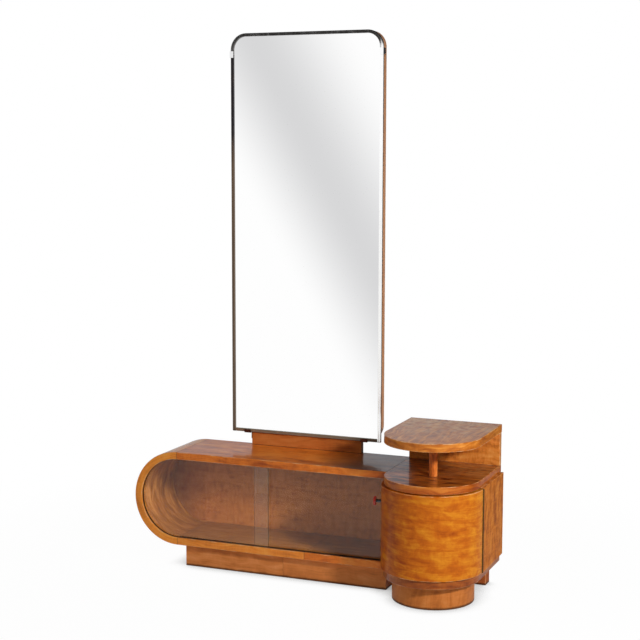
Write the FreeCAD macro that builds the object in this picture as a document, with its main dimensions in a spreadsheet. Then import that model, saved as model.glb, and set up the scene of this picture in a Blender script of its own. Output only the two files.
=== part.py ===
"""Dressing table: a glazed case with a round end, a drum cupboard with a bent door, and a tall mirror.

Design axes: x runs right from the left end of the case, y runs back from the case's front plane, and z runs
up from the floor. Every piece is drawn in those axes and carried by one shift, so that the origin lies on the
floor, below the middle of the whole object.
"""
import FreeCAD
import Part
import Sketcher
import os
import re
from FreeCAD import Placement, Rotation, Vector

# Driving dimensions in millimetres, angles in degrees, counts as numbers
SIZES = {
    # Long case
    "case_length": 920.0,
    "case_height": 326.0,
    "case_depth": 245.0,
    "board_thickness": 25.0,
    "back_thickness": 8.0,
    "partition_thickness": 18.0,
    "tongue_thickness": 6.0,
    "tongue_width": 24.0,
    "tongue_setback": 40.0,
    "joint_play": 0.1,
    # Glass and its tracks
    "track_setback": 10.0,
    "track_width": 5.0,
    "track_pitch": 9.0,
    "track_depth": 6.0,
    "pane_thickness": 4.0,
    "pane_rim_play": 0.5,
    "pane_end_play": 1.0,
    "left_pane_edge": 503.0,
    "pane_overlap": 55.0,
    # Plinths and foot
    "plinth_height": 77.0,
    "plinth_left_inset": 21.0,
    "plinth_front_inset": 25.0,
    "plinth_back_inset": 5.0,
    "plinth_thickness": 18.0,
    "glue_block": 26.0,
    "glue_block_drop": 10.0,
    "drum_plinth_reveal": 33.0,
    "drum_plinth_setback": 12.0,
    "drum_plinth_wall": 15.0,
    "foot_size": 46.0,
    "foot_inset": 34.0,
    # Drum cupboard and its door
    "door_radius": 166.0,
    "door_thickness": 18.0,
    "door_play": 2.5,
    "drum_reveal": 9.0,
    "latch_gap": 2.0,
    "inner_shelf_height": 130.0,
    "inner_shelf_thickness": 16.0,
    "inner_shelf_play": 4.0,
    "bearer_thickness": 10.0,
    "bearer_height": 16.0,
    "bearer_front": 30.0,
    "bearer_rear": 20.0,
    # Continuous hinge
    "knuckle_radius": 3.5,
    "knuckle_count": 9.0,
    "knuckle_play": 0.3,
    "hinge_gap": 3.8,
    "leaf_width": 15.0,
    "leaf_thickness": 1.5,
    "hinge_pin_radius": 1.5,
    "hinge_pin_play": 0.05,
    "hole_play": 0.05,
    # Knob and catch
    "knob_angle": 190.0,
    "knob_height": 312.5,
    "knob_stem_radius": 5.0,
    "knob_stem_length": 18.0,
    "knob_disc_radius": 14.75,
    "knob_disc_thickness": 8.0,
    "knob_edge_chamfer": 2.0,
    "knob_tenon_radius": 3.5,
    "knob_tenon_length": 13.0,
    "catch_height": 240.0,
    "catch_barrel_radius": 4.0,
    "catch_barrel_length": 14.0,
    "catch_bolt_radius": 3.0,
    "catch_bolt_tip_radius": 1.2,
    "catch_bolt_lift": 2.5,
    "catch_bolt_seat": 6.0,
    "strike_thickness": 1.0,
    "strike_width": 14.0,
    "strike_height": 34.0,
    "strike_hole_radius": 3.0,
    # Raised shelf
    "raised_shelf_rise": 136.0,
    "raised_shelf_thickness": 27.0,
    "raised_shelf_reveal": 8.0,
    "upright_thickness": 20.0,
    "post_radius": 13.5,
    # Mirror
    "mirror_setover": 369.0,
    "mirror_width": 556.0,
    "mirror_height": 1382.0,
    "mirror_corner": 56.0,
    "mirror_glass_thickness": 5.0,
    "mirror_glass_play": 0.2,
    "backboard_thickness": 29.0,
    "backboard_overhang": 9.0,
    "backboard_inset": 1.0,
    "frame_depth": 10.0,
    "frame_width": 11.0,
    "frame_wall": 4.0,
    "frame_lip": 4.05,
    "frame_bevel": 3.0,
    "reed_height": 0.45,
    "bow_leg": 15.0,
    "frame_clip_height": 22.0,
    "frame_clip_thickness": 1.4,
    "frame_clip_reach": 24.0,
    "frame_clip_play": 0.3,
    # Base board and battens
    "base_width": 412.0,
    "base_height": 45.0,
    "base_clip_length": 24.0,
    "base_clip_thickness": 2.0,
    "base_clip_hook": 9.0,
    "base_clip_leg": 22.0,
    "base_clip_setback": 14.0,
    "batten_spacing": 300.0,
    "batten_width": 45.0,
    "batten_thickness": 20.0,
    "batten_rise": 750.0,
}

# Places worked out from the driving dimensions, as formulas
DRUM_X = "(case_length + door_radius)"
HALF_WIDTH = "((case_length + 2 * door_radius + knuckle_radius) / 2)"
MID_DEPTH = "((case_depth + batten_thickness - door_radius) / 2)"
END_RADIUS = "(case_height / 2)"
END_INNER = "(case_height / 2 - board_thickness)"
END_Z = "(plinth_height + case_height / 2)"
CASE_TOP = "(plinth_height + case_height)"
FLOOR = "(plinth_height + board_thickness)"
CEILING = f"({CASE_TOP} - board_thickness)"
DRUM_LEFT = "(case_length + drum_reveal)"
DRUM_RIGHT = "(case_length + 2 * door_radius - drum_reveal)"
HINGE_X = "(case_length + 2 * door_radius)"
SIDE_LEFT = f"({HINGE_X} - door_thickness)"
DOOR_BOTTOM = f"({FLOOR} + door_play)"
DOOR_HEIGHT = f"({CEILING} - {FLOOR} - 2 * door_play)"
SHELF_UNDER = f"({CASE_TOP} + raised_shelf_rise - raised_shelf_thickness)"
TRACK_REAR = "(track_setback + track_pitch)"
PANE_INSET = "((track_width - pane_thickness) / 2)"
PANE_RADIUS = f"({END_INNER} + track_depth - pane_rim_play)"
MIRROR_X = "(case_length - mirror_setover)"
MIRROR_LEFT = f"({MIRROR_X} - mirror_width / 2)"
MIRROR_RIGHT = f"({MIRROR_X} + mirror_width / 2)"
MIRROR_FOOT = f"({CASE_TOP} + base_height)"
MIRROR_TOP = f"({MIRROR_FOOT} + mirror_height)"
BACKBOARD_Y = "(case_depth + backboard_overhang - backboard_thickness)"
FRAME_Y = f"({BACKBOARD_Y} - frame_depth)"
BOW_FOOT = f"({MIRROR_TOP} - mirror_corner - bow_leg)"

X_AXIS = Vector(1, 0, 0)
Y_AXIS = Vector(0, 1, 0)
Z_AXIS = Vector(0, 0, 1)

doc = FreeCAD.newDocument("DressingTable")
sheet = doc.addObject("Spreadsheet::Sheet", "Sizes")
for row, (name, size) in enumerate(SIZES.items(), start=1):
    sheet.set(f"A{row}", name)
    sheet.set(f"B{row}", str(size))
    sheet.setAlias(f"B{row}", name)
doc.recompute()
pieces = []


def formula(text):
    """Names the sheet in front of each of its aliases in a formula."""
    return re.sub(r"[a-z_]{4,}", lambda word: f"Sizes.{word[0]}" if word[0] in SIZES else word[0], text)


def value(text):
    """Works a formula out as a number."""
    return float(sheet.evalExpression(formula(text)))


def bind(target, setting, text):
    """Ties one setting of an object to a formula of the sheet."""
    target.setExpression(setting, formula(text))


def place(target, x="0", y="0", z="0"):
    """Puts an object at a design point, with the shift to the part's own origin."""
    bind(target, "Placement.Base.x", f"{x} - {HALF_WIDTH}")
    bind(target, "Placement.Base.y", f"{y} - {MID_DEPTH}")
    bind(target, "Placement.Base.z", z)


def keep(piece):
    """Counts an object as one of the finished sub-parts."""
    pieces.append(piece)
    return piece


def board(label, x, y, z):
    """Makes a rectangular board from its (low, high) formulas along each axis."""
    box = doc.addObject("Part::Box", label)
    box.Label = label
    for setting, (low, high) in zip(("Length", "Width", "Height"), (x, y, z)):
        bind(box, setting, f"({high}) - ({low})")
    place(box, x[0], y[0], z[0])
    return box


def new_body(label, z="0"):
    """Makes an empty body in the design axes, raised to z."""
    body = doc.addObject("PartDesign::Body", label)
    body.Label = label
    place(body, z=z)
    return body


def sketch_on(body, role, offset="0"):
    """Adds a sketch on one of the body's own planes, moved along the plane's normal."""
    sketch = body.newObject("Sketcher::SketchObject", "Sketch")
    plane = next(feature for feature in body.Origin.OriginFeatures if feature.Role == role)
    sketch.AttachmentSupport = (plane, [""])
    sketch.MapMode = "FlatFace"
    bind(sketch, "AttachmentOffset.Base.z", offset)
    return sketch


def measure(sketch, kind, geometry, point, text):
    """Ties one coordinate of a sketch point to a formula."""
    index = sketch.addConstraint(Sketcher.Constraint(kind, -1, 1, geometry, point, value(text)))
    bind(sketch, f"Constraints[{index}]", text)


def arc_centre(start, end, axis, along):
    """Finds the centre at equal distance from two points when one of its coordinates is known."""
    gap = end - start
    middle = (start + end) / 2
    if axis == "X":
        return Vector(along, middle.y - gap.x * (along - middle.x) / gap.y, 0)
    return Vector(middle.x - gap.y * (along - middle.y) / gap.x, along, 0)


def outline(sketch, corners, arcs=None, closed=True):
    """Draws a chain of sides through corners given as formula pairs.

    A side listed in arcs is an arc: (axis, formula, turn) fixes the centre along that axis, and turn is 1
    where the chain runs anticlockwise round it and -1 where it runs clockwise.
    """
    arcs = arcs or {}
    points = [Vector(value(x), value(y), 0) for x, y in corners]
    count = len(points) if closed else len(points) - 1
    ends = []
    for side in range(count):
        start = points[side]
        end = points[(side + 1) % len(points)]
        if side not in arcs:
            geometry = sketch.addGeometry(Part.LineSegment(start, end), False)
            ends.append((geometry, 1, 2))
            continue
        axis, along, turn = arcs[side]
        centre = arc_centre(start, end, axis, value(along))
        first, last = (start, end) if turn > 0 else (end, start)
        circle = Part.Circle(centre, Z_AXIS, (start - centre).Length)
        arc = Part.ArcOfCircle(circle, circle.parameter(first), circle.parameter(last))
        geometry = sketch.addGeometry(arc, False)
        ends.append((geometry, 1, 2) if turn > 0 else (geometry, 2, 1))
    for side in range(count if closed else count - 1):
        geometry, _, finish = ends[side]
        following, begin, _ = ends[(side + 1) % count]
        sketch.addConstraint(Sketcher.Constraint("Coincident", geometry, finish, following, begin))
    for side, (x, y) in enumerate(corners):
        geometry, begin, finish = ends[min(side, count - 1)]
        point = begin if side < count else finish
        measure(sketch, "DistanceX", geometry, point, x)
        measure(sketch, "DistanceY", geometry, point, y)
    for side, (axis, along, _) in arcs.items():
        measure(sketch, f"Distance{axis}", ends[side][0], 3, along)


def circle_at(sketch, x, y, radius):
    """Draws a circle whose centre and radius are formulas."""
    centre = Vector(value(x), value(y), 0)
    geometry = sketch.addGeometry(Part.Circle(centre, Z_AXIS, value(radius)), False)
    measure(sketch, "DistanceX", geometry, 3, x)
    measure(sketch, "DistanceY", geometry, 3, y)
    index = sketch.addConstraint(Sketcher.Constraint("Radius", geometry, value(radius)))
    bind(sketch, f"Constraints[{index}]", radius)


def extrude(body, sketch, length, kind="Pad", flip=False):
    """Adds or cuts the sketch's outline over a length."""
    feature = body.newObject(f"PartDesign::{kind}", kind)
    feature.Profile = sketch
    bind(feature, "Length", length)
    feature.Reversed = flip
    return feature


def slab(label, corners, arcs, thickness, z):
    """Makes a flat panel lying down: a plan outline with a thickness upwards from z."""
    body = new_body(label, z)
    sketch = sketch_on(body, "XY_Plane")
    outline(sketch, corners, arcs)
    extrude(body, sketch, thickness)
    return body


def standing(label, corners, arcs, thickness, y):
    """Makes a panel standing up: a front outline with a thickness backwards from y."""
    body = new_body(label)
    sketch = sketch_on(body, "XZ_Plane", f"-({y})")
    outline(sketch, corners, arcs)
    extrude(body, sketch, thickness, flip=True)
    return body


def rectangle(left, right, low, high):
    """Lists the corners of a rectangle, anticlockwise."""
    return [(left, low), (right, low), (right, high), (left, high)]


def round_ended(centre_x, radius, right):
    """Lists the corners and arc of an upright outline whose left end is a half circle about END_Z."""
    low = f"{END_Z} - ({radius})"
    high = f"{END_Z} + ({radius})"
    corners = [(centre_x, high), (centre_x, low), (right, low), (right, high)]
    return corners, {0: ("X", centre_x, 1)}


def half_round_plan(radius, rear):
    """Lists the corners and arc of a plan with a half-round front about the drum's centre."""
    left = f"{DRUM_X} - ({radius})"
    right = f"{DRUM_X} + ({radius})"
    corners = [(left, "0"), (right, "0"), (right, rear), (left, rear)]
    return corners, {0: ("Y", "0", 1)}


def solids(label, shapes):
    """Gathers code-made shapes, drawn in the design axes, as one object."""
    group = doc.addObject("Part::Feature", label)
    group.Label = label
    group.Shape = shapes[0] if len(shapes) == 1 else Part.makeCompound(shapes)
    group.Placement = Placement(Vector(-value(HALF_WIDTH), -value(MID_DEPTH), 0), Rotation())
    return group


def cut(label, base, tool):
    """Cuts one object out of another."""
    base.Label = f"{label}_blank"
    result = doc.addObject("Part::Cut", label)
    result.Label = label
    result.Base = base
    result.Tool = tool
    return result


def drilled(label, base, holes):
    """Drills a list of code-made holes into a piece."""
    return cut(label, base, solids(f"{label}_holes", holes))


def rod(start, axis, radius, length):
    """Makes a plain cylinder from a design point along an axis."""
    return Part.makeCylinder(radius, length, start, axis)


def case_board(label, z, track_face, flip):
    """Makes the case's top or bottom board, with both glass tracks and the slot for the end's tongue."""
    body = slab(label, rectangle(END_RADIUS, DRUM_LEFT, "0", "case_depth"), None, "board_thickness", z)
    tracks = sketch_on(body, "XY_Plane", track_face)
    for start in ("track_setback", TRACK_REAR):
        outline(tracks, rectangle(END_RADIUS, "case_length", start, f"{start} + track_width"))
    extrude(body, tracks, "track_depth", "Pocket", flip)
    slot = sketch_on(body, "YZ_Plane", END_RADIUS)
    low = "(board_thickness - tongue_thickness) / 2"
    high = "(board_thickness + tongue_thickness) / 2"
    outline(slot, rectangle("tongue_setback", "case_depth - tongue_setback", low, high))
    extrude(body, slot, "tongue_width / 2", "Pocket", True)
    return body


def half_ring(sketch, outer, inner):
    """Draws a half ring, open to the right, about the centre of the round end."""
    corners = [(END_RADIUS, f"{END_Z} + ({outer})"), (END_RADIUS, f"{END_Z} - ({outer})"),
               (END_RADIUS, f"{END_Z} - ({inner})"), (END_RADIUS, f"{END_Z} + ({inner})")]
    outline(sketch, corners, {0: ("X", END_RADIUS, 1), 2: ("X", END_RADIUS, -1)})


def case_round_end():
    """Makes the bent end: a half ring with a glass track inside and a tongue slot in each joint face."""
    body = new_body("case_round_end")
    ring = sketch_on(body, "XZ_Plane")
    half_ring(ring, END_RADIUS, END_INNER)
    extrude(body, ring, "case_depth", flip=True)
    track = sketch_on(body, "XZ_Plane", "-track_setback")
    half_ring(track, f"{END_INNER} + track_depth", f"{END_INNER} - track_depth")
    extrude(body, track, "track_width", "Pocket")
    slots = sketch_on(body, "YZ_Plane", END_RADIUS)
    for board_z in ("plinth_height", CEILING):
        low = f"{board_z} + (board_thickness - tongue_thickness) / 2"
        high = f"{board_z} + (board_thickness + tongue_thickness) / 2"
        outline(slots, rectangle("tongue_setback", "case_depth - tongue_setback", low, high))
    extrude(body, slots, "tongue_width / 2", "Pocket")
    return body


def end_joint_tongues():
    """Makes the two loose tongues that line up the round end with the top and bottom boards."""
    tongues = doc.addObject("Part::Compound", "end_joint_tongues")
    half = "(tongue_width / 2 - joint_play)"
    links = []
    for name, board_z in (("lower_tongue", "plinth_height"), ("upper_tongue", CEILING)):
        low = f"{board_z} + (board_thickness - tongue_thickness) / 2 + joint_play"
        high = f"{board_z} + (board_thickness + tongue_thickness) / 2 - joint_play"
        y = ("tongue_setback + joint_play", "case_depth - tongue_setback - joint_play")
        links.append(board(name, (f"{END_RADIUS} - {half}", f"{END_RADIUS} + {half}"), y, (low, high)))
    tongues.Links = links
    return tongues


def glass_panes():
    """Makes the two sliding panes: the left one round-ended in the front track, the right one square."""
    corners, arcs = round_ended(END_RADIUS, PANE_RADIUS, "left_pane_edge")
    keep(standing("glass_pane_left", corners, arcs, "pane_thickness", f"track_setback + {PANE_INSET}"))
    right = ("left_pane_edge - pane_overlap", "case_length - pane_end_play")
    y = (f"{TRACK_REAR} + {PANE_INSET}", f"{TRACK_REAR} + {PANE_INSET} + pane_thickness")
    keep(board("glass_pane_right", right, y, (f"{END_Z} - {PANE_RADIUS}", f"{END_Z} + {PANE_RADIUS}")))


def long_plinth():
    """Makes the set-back plinth box below the case, with a glue block in each corner."""
    x = (f"({END_RADIUS} + plinth_left_inset)", "case_length")
    front = ("plinth_front_inset", "plinth_front_inset + plinth_thickness")
    rear = "(case_depth - plinth_back_inset)"
    back = (f"{rear} - plinth_thickness", rear)
    height = ("0", "plinth_height")
    between = (front[1], back[0])
    left = (x[0], f"{x[0]} + plinth_thickness")
    right = (f"{x[1]} - plinth_thickness", x[1])
    keep(board("plinth_front", x, front, height))
    keep(board("plinth_back", x, back, height))
    keep(board("plinth_left_end", left, between, height))
    keep(board("plinth_right_end", right, between, height))
    blocks = doc.addObject("Part::Compound", "plinth_glue_blocks")
    links = []
    for side, x_block in (("left", (left[1], f"{left[1]} + glue_block")),
                          ("right", (f"{right[0]} - glue_block", right[0]))):
        for end, y_block in (("front", (between[0], f"{between[0]} + glue_block")),
                             ("back", (f"{between[1]} - glue_block", between[1]))):
            z_block = ("glue_block_drop", "plinth_height")
            links.append(board(f"glue_block_{side}_{end}", x_block, y_block, z_block))
    blocks.Links = links
    keep(blocks)


def drum_plinth():
    """Makes the round plinth: a ring below the drum, set back from its front."""
    body = new_body("drum_plinth")
    ring = sketch_on(body, "XY_Plane")
    circle_at(ring, DRUM_X, "drum_plinth_setback", "door_radius - drum_plinth_reveal")
    circle_at(ring, DRUM_X, "drum_plinth_setback", "door_radius - drum_plinth_reveal - drum_plinth_wall")
    extrude(body, ring, "plinth_height")
    return body


def shelf_bearers():
    """Makes the two wooden strips that carry the inner shelf, one on each wall."""
    strips = doc.addObject("Part::Compound", "shelf_bearers")
    wall = "(case_length + partition_thickness)"
    y = ("bearer_front", "case_depth - back_thickness - bearer_rear")
    top = f"({FLOOR} + inner_shelf_height)"
    z = (f"{top} - bearer_height", top)
    strips.Links = [board("shelf_bearer_left", (wall, f"{wall} + bearer_thickness"), y, z),
                    board("shelf_bearer_right", (f"{SIDE_LEFT} - bearer_thickness", SIDE_LEFT), y, z)]
    return strips


def hinge_leaf(label, side):
    """Makes one leaf of the continuous hinge: a strip with every second knuckle, bored for the pin."""
    pitch = f"({DOOR_HEIGHT} / floor(knuckle_count))"
    count = int(value("knuckle_count"))
    own = (count + 1) // 2 if side > 0 else count // 2
    first = "0" if side > 0 else pitch
    near = f"{side} * (hinge_gap - leaf_thickness)"
    far = f"{side} * hinge_gap"
    root = f"{HINGE_X} - knuckle_radius - knuckle_play"
    body = slab(label, rectangle(f"{HINGE_X} - leaf_width", root, near, far), None, DOOR_HEIGHT, DOOR_BOTTOM)
    barrel_sketch = sketch_on(body, "XY_Plane", first)
    circle_at(barrel_sketch, HINGE_X, "0", "knuckle_radius")
    barrel = extrude(body, barrel_sketch, f"{pitch} - knuckle_play")
    tab_sketch = sketch_on(body, "XY_Plane", first)
    outline(tab_sketch, rectangle(root, HINGE_X, near, far))
    tab = extrude(body, tab_sketch, f"{pitch} - knuckle_play")
    row = body.newObject("PartDesign::LinearPattern", "LinearPattern")
    row.Originals = [barrel, tab]
    row.Direction = (barrel_sketch, ["N_Axis"])
    row.Occurrences = own
    bind(row, "Length", f"2 * {pitch} * {own - 1}")
    body.Tip = row
    bore = sketch_on(body, "XY_Plane")
    circle_at(bore, HINGE_X, "0", "hinge_pin_radius + hinge_pin_play")
    extrude(body, bore, DOOR_HEIGHT, "Pocket", True)
    return body


def hinge_pin():
    """Makes the hinge's pin, as long as the hinge."""
    pin = doc.addObject("Part::Cylinder", "hinge_pin")
    bind(pin, "Radius", "hinge_pin_radius")
    bind(pin, "Height", DOOR_HEIGHT)
    place(pin, HINGE_X, "0", DOOR_BOTTOM)
    return pin


def knob_axis():
    """Gives the direction in which the knob stands off the door."""
    return Vector(value("cos(knob_angle)"), value("sin(knob_angle)"), 0)


def door_point(radius, z):
    """Gives the design point on the knob's line at a distance from the drum's centre."""
    return Vector(value(DRUM_X), 0, value(z)) + knob_axis() * value(radius)


def knob_hole():
    """Makes the hole in the door that takes the knob's tenon."""
    depth = value("knob_tenon_length + hole_play")
    mouth = door_point("door_radius + door_play", "knob_height")
    return rod(mouth, -knob_axis(), value("knob_tenon_radius + hole_play"), depth + value("door_play"))


def catch_centre(y):
    """Gives the design point of the catch's line at a depth."""
    return Vector(value("case_length + door_thickness / 2"), value(y), value("catch_height"))


def curved_door():
    """Makes the bent door: a half ring in plan, drilled for knob and catch."""
    inner = "(door_radius - door_thickness)"

    def edge(radius, gap, side):
        return f"{DRUM_X} {side} sqrt(({radius}) ^ 2 - {gap} ^ 2)"

    corners = [(edge("door_radius", "latch_gap", "-"), "-latch_gap"),
               (edge("door_radius", "hinge_gap", "+"), "-hinge_gap"),
               (edge(inner, "hinge_gap", "+"), "-hinge_gap"),
               (edge(inner, "latch_gap", "-"), "-latch_gap")]
    arcs = {0: ("Y", "0", 1), 2: ("Y", "0", -1)}
    blank = slab("curved_door", corners, arcs, DOOR_HEIGHT, DOOR_BOTTOM)
    play = value("hole_play")
    barrel = rod(catch_centre("-latch_gap"), -Y_AXIS, value("catch_barrel_radius") + play,
                 value("catch_barrel_length") + play)
    return drilled("curved_door", blank, [knob_hole(), barrel])


def turned(label, corners, arcs=None):
    """Makes a turned piece on the knob's line from a (radius, height) profile that starts at the door."""
    body = doc.addObject("PartDesign::Body", label)
    body.Label = label
    body.Placement = Placement(Vector(), Rotation(Z_AXIS, knob_axis()))
    place(body, f"{DRUM_X} + door_radius * cos(knob_angle)", "door_radius * sin(knob_angle)", "knob_height")
    sketch = sketch_on(body, "XZ_Plane")
    outline(sketch, corners, arcs)
    turn = body.newObject("PartDesign::Revolution", "Revolution")
    turn.Profile = sketch
    turn.ReferenceAxis = (sketch, ["V_Axis"])
    return body


def knob():
    """Makes the knob: a stem with a tenon into the door, and the disc on the stem's end."""
    end = "knob_stem_length"
    keep(turned("knob_stem", [("0", "-knob_tenon_length"), ("knob_tenon_radius", "-knob_tenon_length"),
                              ("knob_tenon_radius", "0"), ("knob_stem_radius", "0"),
                              ("knob_stem_radius", end), ("0", end)]))
    tip = f"({end} + knob_disc_thickness)"
    rim = "(knob_disc_radius - knob_edge_chamfer)"
    low_edge = f"({end} + knob_edge_chamfer)"
    high_edge = f"({tip} - knob_edge_chamfer)"
    keep(turned("knob_disc", [("0", end), (rim, end), ("knob_disc_radius", low_edge),
                              ("knob_disc_radius", high_edge), (rim, tip), ("0", tip)]))


def bolt_catch():
    """Makes the sprung bolt catch in the door's edge, and returns its strike's recess for the partition."""
    face = catch_centre("-latch_gap")
    bolt_radius = value("catch_bolt_radius")
    seat = value("catch_bolt_seat")
    play = value("hole_play")
    barrel = rod(face, -Y_AXIS, value("catch_barrel_radius"), value("catch_barrel_length"))
    pocket = rod(face, -Y_AXIS, bolt_radius + play, seat + play)
    keep(solids("catch_barrel", [barrel.cut(pocket)]))
    tip = Part.makeCone(bolt_radius, value("catch_bolt_tip_radius"), value("catch_bolt_lift"), face, Y_AXIS)
    keep(solids("catch_bolt", [tip.fuse(rod(face, -Y_AXIS, bolt_radius, seat)).removeSplitter()]))
    x = ("case_length + (partition_thickness - strike_width) / 2",
         "case_length + (partition_thickness + strike_width) / 2")
    y = ("0", "strike_thickness")
    z = ("catch_height - strike_height / 2", "catch_height + strike_height / 2")
    hole = rod(catch_centre("0"), Y_AXIS, value("strike_hole_radius"), value("strike_thickness"))
    keep(drilled("catch_strike", board("catch_strike", x, y, z), [hole]))
    return board("strike_recess", x, y, z)


def drum():
    """Makes the drum cupboard: boards, walls, inner shelf, and the hinged door with its fittings."""
    plan, arcs = half_round_plan("door_radius - drum_reveal", "case_depth")
    keep(slab("drum_bottom_board", plan, arcs, "board_thickness", "plinth_height"))
    keep(slab("drum_top_board", plan, arcs, "board_thickness", CEILING))
    inside = (FLOOR, CEILING)
    depth = ("0", "case_depth")
    wall = board("partition", ("case_length", "case_length + partition_thickness"), depth, inside)
    keep(cut("partition", wall, bolt_catch()))
    keep(board("drum_side_panel", (SIDE_LEFT, HINGE_X), ("hinge_gap", "case_depth"), inside))
    back_x = ("case_length + partition_thickness", SIDE_LEFT)
    keep(board("drum_back_panel", back_x, ("case_depth - back_thickness", "case_depth"), inside))
    plan, arcs = half_round_plan("door_radius - door_thickness - inner_shelf_play",
                                 "case_depth - back_thickness - inner_shelf_play")
    keep(slab("drum_shelf", plan, arcs, "inner_shelf_thickness", f"{FLOOR} + inner_shelf_height"))
    keep(shelf_bearers())
    keep(curved_door())
    keep(hinge_leaf("hinge_panel_leaf", 1))
    keep(hinge_leaf("hinge_door_leaf", -1))
    keep(hinge_pin())
    knob()


def raised_shelf():
    """Makes the shelf above the drum, on its back board and round post."""
    plan, arcs = half_round_plan("door_radius - raised_shelf_reveal", "case_depth")
    keep(slab("raised_shelf", plan, arcs, "raised_shelf_thickness", SHELF_UNDER))
    back = ("case_depth - upright_thickness", "case_depth")
    keep(board("shelf_upright", (DRUM_LEFT, DRUM_RIGHT), back, (CASE_TOP, SHELF_UNDER)))
    post = doc.addObject("Part::Cylinder", "shelf_post")
    bind(post, "Radius", "post_radius")
    bind(post, "Height", f"{SHELF_UNDER} - {CASE_TOP}")
    place(post, DRUM_X, "0", CASE_TOP)
    keep(post)


def rounded_outline(left, right, low, high, radius, lower_corners):
    """Lists an upright rectangle's corners and arcs, rounded at the top and, if asked, at the bottom."""
    inner_left = f"{left} + {radius}"
    inner_right = f"{right} - {radius}"
    near_low = f"{low} + {radius}"
    near_high = f"{high} - {radius}"
    top = [(right, near_high), (inner_right, high), (inner_left, high), (left, near_high)]
    if not lower_corners:
        return [(left, low), (right, low)] + top, {2: ("X", inner_right, 1), 4: ("X", inner_left, 1)}
    bottom = [(left, near_low), (inner_left, low), (inner_right, low), (right, near_low)]
    centres = (inner_left, inner_right, inner_right, inner_left)
    return bottom + top, {2 * corner: ("X", centre, 1) for corner, centre in enumerate(centres)}


def reeded_section(edge, sense):
    """Lists the frame strip's section as (across, depth) pairs: two reeds, a lip over the glass and a wall.

    Across runs inwards from the frame's outer edge, towards +1 or -1 as sense says. The reeds lie on a bevel
    that falls back towards the outer edge.
    """
    reed_foot = f"({FRAME_Y} + reed_height)"
    lip_back = f"({FRAME_Y} + reed_height + frame_lip)"

    def across(share):
        return f"{edge} + {sense} * {share}"

    return [(across("0"), BACKBOARD_Y), (across("0"), f"{reed_foot} + frame_bevel"),
            (across("frame_width / 2"), f"{reed_foot} + frame_bevel / 2"),
            (across("frame_width"), reed_foot), (across("frame_width"), lip_back),
            (across("frame_wall"), lip_back), (across("frame_wall"), BACKBOARD_Y)]


REED_DROP = "(((frame_width / 4) ^ 2 - reed_height ^ 2) / (2 * reed_height))"
OUTER_REED = f"({FRAME_Y} + reed_height + frame_bevel * 3 / 4 + {REED_DROP})"
INNER_REED = f"({FRAME_Y} + reed_height + frame_bevel / 4 + {REED_DROP})"


def side_rail(label, edge, sense):
    """Makes one upright of the mirror frame, from its foot to the joint below the top bow."""
    arcs = {1: ("Y", OUTER_REED, sense), 2: ("Y", INNER_REED, sense)}
    return slab(label, reeded_section(edge, sense), arcs, f"{BOW_FOOT} - {MIRROR_FOOT}", MIRROR_FOOT)


def bottom_rail():
    """Makes the bottom strip of the mirror frame, between the two uprights."""
    body = new_body("frame_bottom_rail")
    section = sketch_on(body, "YZ_Plane", f"{MIRROR_LEFT} + frame_width")
    corners = [(depth, across) for across, depth in reeded_section(MIRROR_FOOT, 1)]
    outline(section, corners, {1: ("X", OUTER_REED, -1), 2: ("X", INNER_REED, -1)})
    extrude(body, section, "mirror_width - 2 * frame_width")
    return body


def top_bow():
    """Makes the bent top of the mirror frame: the reeded section carried up, across and down."""
    body = new_body("frame_top_bow")
    section = sketch_on(body, "XY_Plane", BOW_FOOT)
    outline(section, reeded_section(MIRROR_LEFT, 1), {1: ("Y", OUTER_REED, 1), 2: ("Y", INNER_REED, 1)})
    path = sketch_on(body, "XZ_Plane", f"-{BACKBOARD_Y}")
    bend = f"({MIRROR_TOP} - mirror_corner)"
    left_bend = f"({MIRROR_LEFT} + mirror_corner)"
    right_bend = f"({MIRROR_RIGHT} - mirror_corner)"
    route = [(MIRROR_LEFT, BOW_FOOT), (MIRROR_LEFT, bend), (left_bend, MIRROR_TOP),
             (right_bend, MIRROR_TOP), (MIRROR_RIGHT, bend), (MIRROR_RIGHT, BOW_FOOT)]
    outline(path, route, {1: ("X", left_bend, -1), 3: ("X", right_bend, -1)}, closed=False)
    pipe = body.newObject("PartDesign::AdditivePipe", "AdditivePipe")
    pipe.Profile = section
    pipe.Spine = path
    return body


def frame_clip(label, edge, sense):
    """Makes the angle plate over one frame joint: across the strip's front, back on the side."""
    outer = f"{edge} - {sense} * (frame_clip_play + frame_clip_thickness)"
    inner = f"{edge} - {sense} * frame_clip_play"
    end = f"{edge} + {sense} * frame_width"
    front = f"({FRAME_Y} - frame_clip_play - frame_clip_thickness)"
    back = f"({FRAME_Y} - frame_clip_play)"
    rear = f"({front} + frame_clip_reach)"
    corners = [(outer, front), (end, front), (end, back), (inner, back), (inner, rear), (outer, rear)]
    return slab(label, corners, None, "frame_clip_height", f"{BOW_FOOT} - frame_clip_height / 2")


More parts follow.
